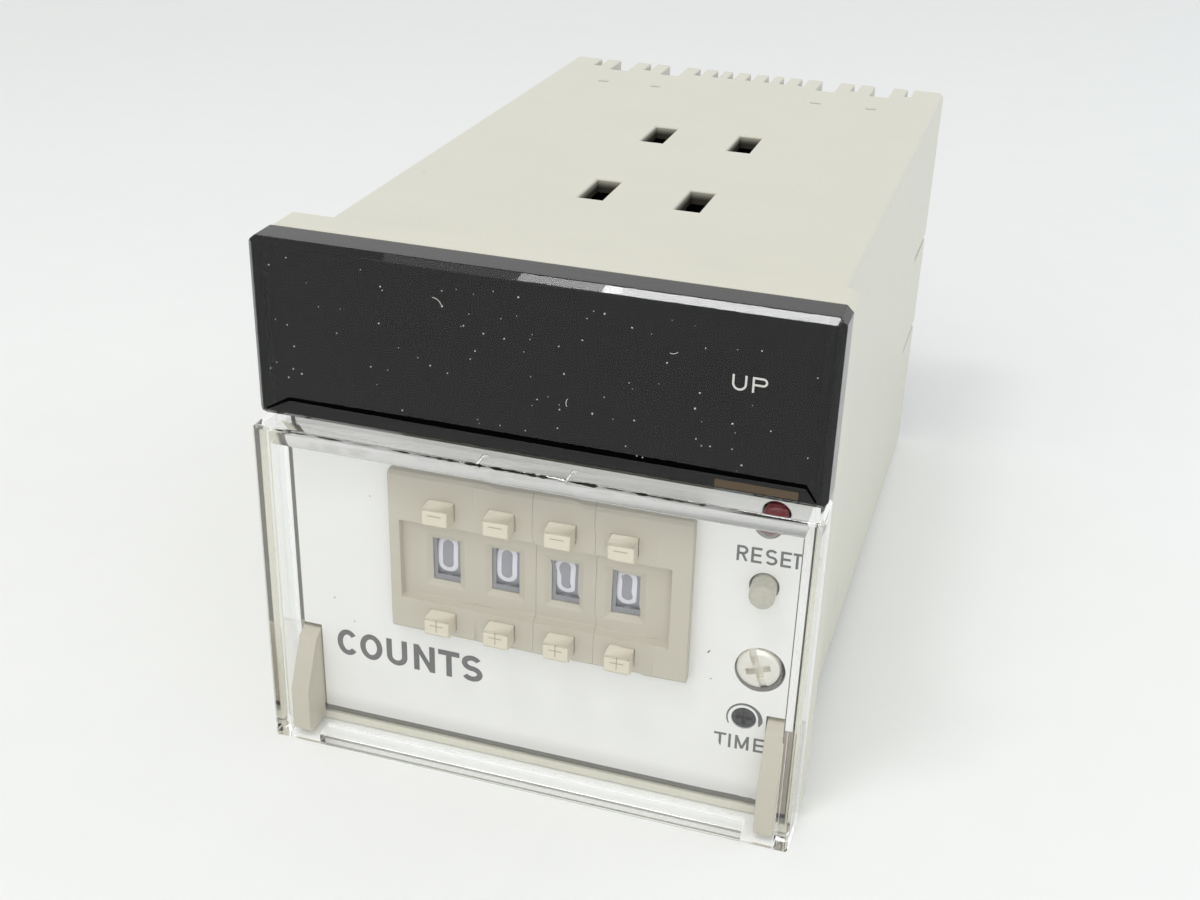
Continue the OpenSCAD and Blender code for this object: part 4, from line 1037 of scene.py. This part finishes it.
class COUNTER_OT_preset_switch(bpy.types.Operator):
    """Switch modules and end caps with softened front edges, fine seams and painted shade strips in the digit
    openings
    """

    bl_idname = "counter.preset_switch"
    bl_label = "Preset Switch"

    def execute(self, context):
        colours, edges = settings(context)
        modules = numbered("digit_module")
        head = mm_box(modules[0])[1][2]
        # Painted shade: the switch frame darkens towards its head
        grey = moulded("switch_grey", colours.switch, roughness=0.5, blotch=0.02, grain=5200.0, depth=0.02,
                       specks=(420, 0.05, 0.06, 0.35), painted_shade=(head, head - SWITCH_FADE, 0.16))
        for node in ["switch_end_left", "switch_end_right"] + modules:
            rounded_copy(node, f"{node}_shell", edges.switch, grey,
                         switch_edges(node, edges.seam / edges.switch), sharp=15)
        # Painted shade: dark grey strips at the foot and left of each digit opening
        shade_strip_grey = mark_material("wheel_lip", colours.lip, roughness=0.6)
        for name, node, wheel in zip(numbered("wheel_lip"), modules, numbered("digit_wheel")):
            x, _, z = mm_middle(wheel)
            drum = mm_box(wheel)[0][1]
            near, far = drum - SHADE_STRIP_FRONT, drum - SHADE_STRIP_REAR
            left, right, foot, top = x - SHADE_STRIP_HALF[0], x + SHADE_STRIP_HALF[0], z - SHADE_STRIP_HALF[1], z + SHADE_STRIP_HALF[1]
            shade_strips = [bar((left, near, foot), (right, far, foot + SHADE_STRIP_FOOT)),
                    bar((left, near, foot + SHADE_STRIP_FOOT), (left + SHADE_STRIP_SIDE, far, top))]
            new_piece(name, *together(shade_strips), shade_strip_grey, node)
        return {"FINISHED"}


class COUNTER_OT_push_buttons(bpy.types.Operator):
    """Push buttons with their engraved signs"""

    bl_idname = "counter.push_buttons"
    bl_label = "Push Buttons"

    def execute(self, context):
        colours, edges = settings(context)
        cream = moulded("button_cream", colours.button, roughness=0.42, blotch=0.02, grain=4200.0, depth=0.01)
        dark = mark_material("sign_fill", colours.sign)
        size, stroke, ink = edges.sign / MM, edges.sign_stroke / MM, edges.ink / MM
        for k in range(DIGITS):
            for sign, kind in (("-", "minus"), ("+", "plus")):
                node = f"{kind}_button_{k + 1}"
                rounded_copy(node, f"{kind}_cap_{k + 1}", edges.button, cream,
                             front_edges(node, BUTTON_DEPTH))
                x, _, z = mm_middle(node)
                points, faces = sign_solid(sign, size, size, stroke, ink)
                points += (x - size / 2, z - size / 2, 0)
                new_piece(f"{kind}_sign_{k + 1}", on_front(points, mm_box(node)[0][1]), faces, dark, node)
        return {"FINISHED"}


class COUNTER_OT_digit_wheels(bpy.types.Operator):
    """Digit wheels with figures wrapped round their rims"""

    bl_idname = "counter.digit_wheels"
    bl_label = "Digit Wheels"

    def execute(self, context):
        colours, edges = settings(context)
        grey = moulded("wheel_grey", colours.wheel, roughness=0.45, blotch=0.02, grain=4200.0, depth=0.006)
        white = mark_material("wheel_figure", colours.figure)
        w, h, s = edges.figure_width / MM, edges.figure_height / MM, edges.figure_stroke / MM
        for name, node in zip(numbered("wheel_figures"), numbered("digit_wheel")):
            solids = []
            for figure in range(10):
                points, faces = sign_solid(str(figure), w, h, s, edges.ink / MM, split=True)
                points -= (w / 2, h / 2 - edges.figure_rise / MM, 0)
                turn = figure * np.pi / 5
                solids.append((on_drum(points, mm_middle(node), mm_half(node, 2), turn), faces))
            smooth(new_piece(name, *together(solids), white, node))
            finish([node], grey)
        return {"FINISHED"}


class COUNTER_OT_controls(bpy.types.Operator):
    """Reset button, lamp, lock screw and trimmer"""

    bl_idname = "counter.controls"
    bl_label = "Controls"

    def execute(self, context):
        colours, edges = settings(context)
        (_, tip, _), (_, rear, _) = mm_box("reset_button")
        wide = mm_half("reset_button", 0)
        stem = wide - RESET_COLLAR
        collar = mm_box("chassis")[0][1] + RESET_SEAT
        shoulder = collar + RESET_COLLAR_L
        centre = (stem - RESET_ROUND, tip + RESET_ROUND + RESET_FALL[1])
        crown = arc(*centre, RESET_ROUND, RESET_ROUND, -80, 0, 10)
        profile = np.concatenate([
            [(0, tip), (stem - RESET_BEND, tip + RESET_FALL[0])], crown,
            [(stem, collar), (wide, collar), (wide, shoulder), (RESET_NECK, shoulder), (RESET_NECK, rear),
             (0, rear)]])
        satin = moulded("reset_grey", colours.reset, roughness=0.28, blotch=0.02, grain=2500.0, depth=0.004)
        turned_piece("reset_cap", "reset_button", profile, satin)
        # Painted shade: the lamp's lens turns grey towards its foot
        low, high = mm_box("indicator_lamp")[0][2] + LAMP_SHADE
        finish(["indicator_lamp"], lamp_material(colours.lamp, colours.gap, low, high))
        rounded_copy("lock_screw", "lock_screw_head", edges.screw, nickel_steel(colours),
                     front_edges("lock_screw", SCREW_DEPTH))
        finish(["time_trimmer", "trimmer_body"], black_plastic(colours))
        return {"FINISHED"}


class COUNTER_OT_rear_terminals(bpy.types.Operator):
    """Terminal mouldings, screws and contacts at the rear"""

    bl_idname = "counter.rear_terminals"
    bl_label = "Rear Terminals"

    def execute(self, context):
        colours, edges = settings(context)
        brass = moulded("contact_brass", colours.brass, roughness=0.3, blotch=0.03, grain=2200.0, depth=0.004,
                        metallic=1.0)
        rounded_copy("terminal_barrier", "barrier_ribs", edges.rear, black_plastic(colours))
        finish(["terminal_block"], black_plastic(colours))
        finish(["terminal_screws"], nickel_steel(colours))
        finish(["terminal_contacts"], brass)
        return {"FINISHED"}


class COUNTER_OT_inner_parts(bpy.types.Operator):
    """Chassis, boards, transformer, relay and other parts inside the case"""

    bl_idname = "counter.inner_parts"
    bl_label = "Inner Parts"

    def execute(self, context):
        colours, _ = settings(context)
        green = moulded("circuit_board", colours.board, roughness=0.4, blotch=0.04, grain=3000.0, depth=0.01,
                        tracks=colours.copper)
        steel = moulded("core_steel", colours.core, roughness=0.4, blotch=0.06, grain=2600.0, depth=0.02,
                        metallic=1.0)
        wrap = moulded("coil_wrap", colours.coil, roughness=0.35, blotch=0.08, grain=1500.0, depth=0.02)
        finish(["chassis", "reset_switch", "digit_display", "smoothing_capacitor", "upper_connector",
                "lower_connector"], black_plastic(colours))
        finish(["control_board", "display_board", "main_board", "power_board", *numbered("contact_board")],
               green)
        finish(["switch_tie_rods"], nickel_steel(colours))
        finish(["transformer_core"], steel)
        finish(["transformer_coil"], wrap)
        finish(["output_relay"], bpy.data.materials["counter_case_cream"])
        return {"FINISHED"}


def photo_camera(scene):
    """Camera at the photograph's angle."""
    stage = scene.counter_stage
    eye = bpy.data.cameras.new("photo_camera")
    eye.sensor_fit = "HORIZONTAL"
    eye.sensor_width = 36
    eye.lens = stage.lens
    eye.clip_start = 0.005
    camera = bpy.data.objects.new("photo_camera", eye)
    camera.location = stage.eye
    camera.rotation_euler = Euler(stage.turn, "XYZ")
    scene.collection.objects.link(camera)
    scene.camera = camera


def pale_floor(scene):
    """Floor under the case: a square grid whose height rises with Y by a constant slope."""
    across = np.linspace(-FLOOR_HALF, FLOOR_HALF, FLOOR_STEPS)
    x, y = np.meshgrid(across, across, indexing="ij")
    z = mm_box("case")[0][2] + scene.counter_stage.floor_slope * y
    points = np.stack([x, y, z], axis=-1).reshape(-1, 3) * MM
    mesh = bpy.data.meshes.new("floor")
    mesh.from_pydata(points.tolist(), [], grid_faces(FLOOR_STEPS, FLOOR_STEPS).tolist())
    mesh.materials.append(moulded("floor_pale", scene.counter_colours.floor, roughness=0.8, blotch=0.006,
                                  grain=700.0, depth=0.05, specular=0.1))
    floor = bpy.data.objects.new("floor", mesh)
    scene.collection.objects.link(floor)
    return floor


def area_light(scene, name, place, size, power, colour):
    """Rectangular area light at a place in metres, facing the counter."""
    lamp = bpy.data.lights.new(name, "AREA")
    lamp.shape = "RECTANGLE"
    lamp.color = colour
    lamp.size, lamp.size_y = size
    lamp.energy = power
    light = bpy.data.objects.new(name, lamp)
    light.location = place
    light.rotation_euler = (Vector(AIM) - Vector(place)).to_track_quat("-Z", "Y").to_euler()
    scene.collection.objects.link(light)
    return light


def surroundings(scene):
    """World of one colour, with one strength for its light and another for what is seen of it."""
    world = bpy.data.worlds.new("surroundings")
    scene.world = world
    world.use_nodes = True
    tree = world.node_tree
    tree.nodes.clear()
    path = tree.nodes.new("ShaderNodeLightPath").outputs
    mirrored = math_node(tree, "MAXIMUM", path["Is Glossy Ray"], path["Is Transmission Ray"])
    seen = math_node(tree, "MAXIMUM", path["Is Camera Ray"], mirrored)
    lit, shown = (add_node(tree, "ShaderNodeBackground", Color=SKY, Strength=strength)
                  for strength in (scene.counter_stage.ambient, scene.counter_stage.backdrop))
    add_node(tree, "ShaderNodeOutputWorld", Surface=mixed_shader(tree, seen, lit, shown))


class COUNTER_OT_stage(bpy.types.Operator):
    """Camera, pale floor, lights and surroundings"""

    bl_idname = "counter.stage"
    bl_label = "Stage"

    def execute(self, context):
        scene = context.scene
        stage = scene.counter_stage
        photo_camera(scene)
        pale_floor(scene)
        lights = (
            ("key_light", (-0.0885, -0.215, 0.55), (0.107, 0.06), stage.key, WHITE),
            ("key_wing", (-0.1635, -0.215, 0.55), (0.043, 0.06), stage.key * stage.wing, WHITE),
            ("soft_light", (0.05, -0.6, 0.55), (0.9, 0.9), stage.soft, WHITE),
            ("side_light", (0.7, 0.45, 0.3), (0.5, 0.3), stage.side, COOL),
        )
        for name, place, size, power, colour in lights:
            area_light(scene, name, place, size, power, colour)
        surroundings(scene)
        scene.view_settings.view_transform = "Standard"
        return {"FINISHED"}


class COUNTER_PT_panel(bpy.types.Panel):
    """Buttons and settings of the panel counter"""

    bl_idname = "COUNTER_PT_panel"
    bl_label = "Panel Counter"
    bl_space_type = "VIEW_3D"
    bl_region_type = "UI"
    bl_category = "Counter"

    def draw(self, context):
        column = self.layout.column()
        for step in STEPS:
            column.operator(f"counter.{step}")
        for group in (*settings(context), context.scene.counter_stage):
            for setting in group.bl_rna.properties:
                if not setting.is_readonly and setting.identifier != "name":
                    column.prop(group, setting.identifier)


STEPS = ("case_shell", "display_window", "front_cover", "hinge_arms", "faceplate", "face_marks",
         "preset_switch", "push_buttons", "digit_wheels", "controls", "rear_terminals", "inner_parts",
         "stage")
CLASSES = (CounterColours, CounterEdges, CounterStage, COUNTER_OT_case_shell, COUNTER_OT_display_window,
           COUNTER_OT_front_cover, COUNTER_OT_hinge_arms, COUNTER_OT_faceplate, COUNTER_OT_face_marks,
           COUNTER_OT_preset_switch, COUNTER_OT_push_buttons, COUNTER_OT_digit_wheels, COUNTER_OT_controls,
           COUNTER_OT_rear_terminals, COUNTER_OT_inner_parts, COUNTER_OT_stage, COUNTER_PT_panel)


def register():
    for kind in CLASSES:
        bpy.utils.register_class(kind)
    bpy.types.Scene.counter_colours = PointerProperty(type=CounterColours)
    bpy.types.Scene.counter_edges = PointerProperty(type=CounterEdges)
    bpy.types.Scene.counter_stage = PointerProperty(type=CounterStage)


def unregister():
    for label in ("counter_stage", "counter_edges", "counter_colours"):
        delattr(bpy.types.Scene, label)
    for kind in reversed(CLASSES):
        bpy.utils.unregister_class(kind)


def main():
    register()
    for step in STEPS:
        getattr(bpy.ops.counter, step)()


if __name__ == "__main__":
    main()
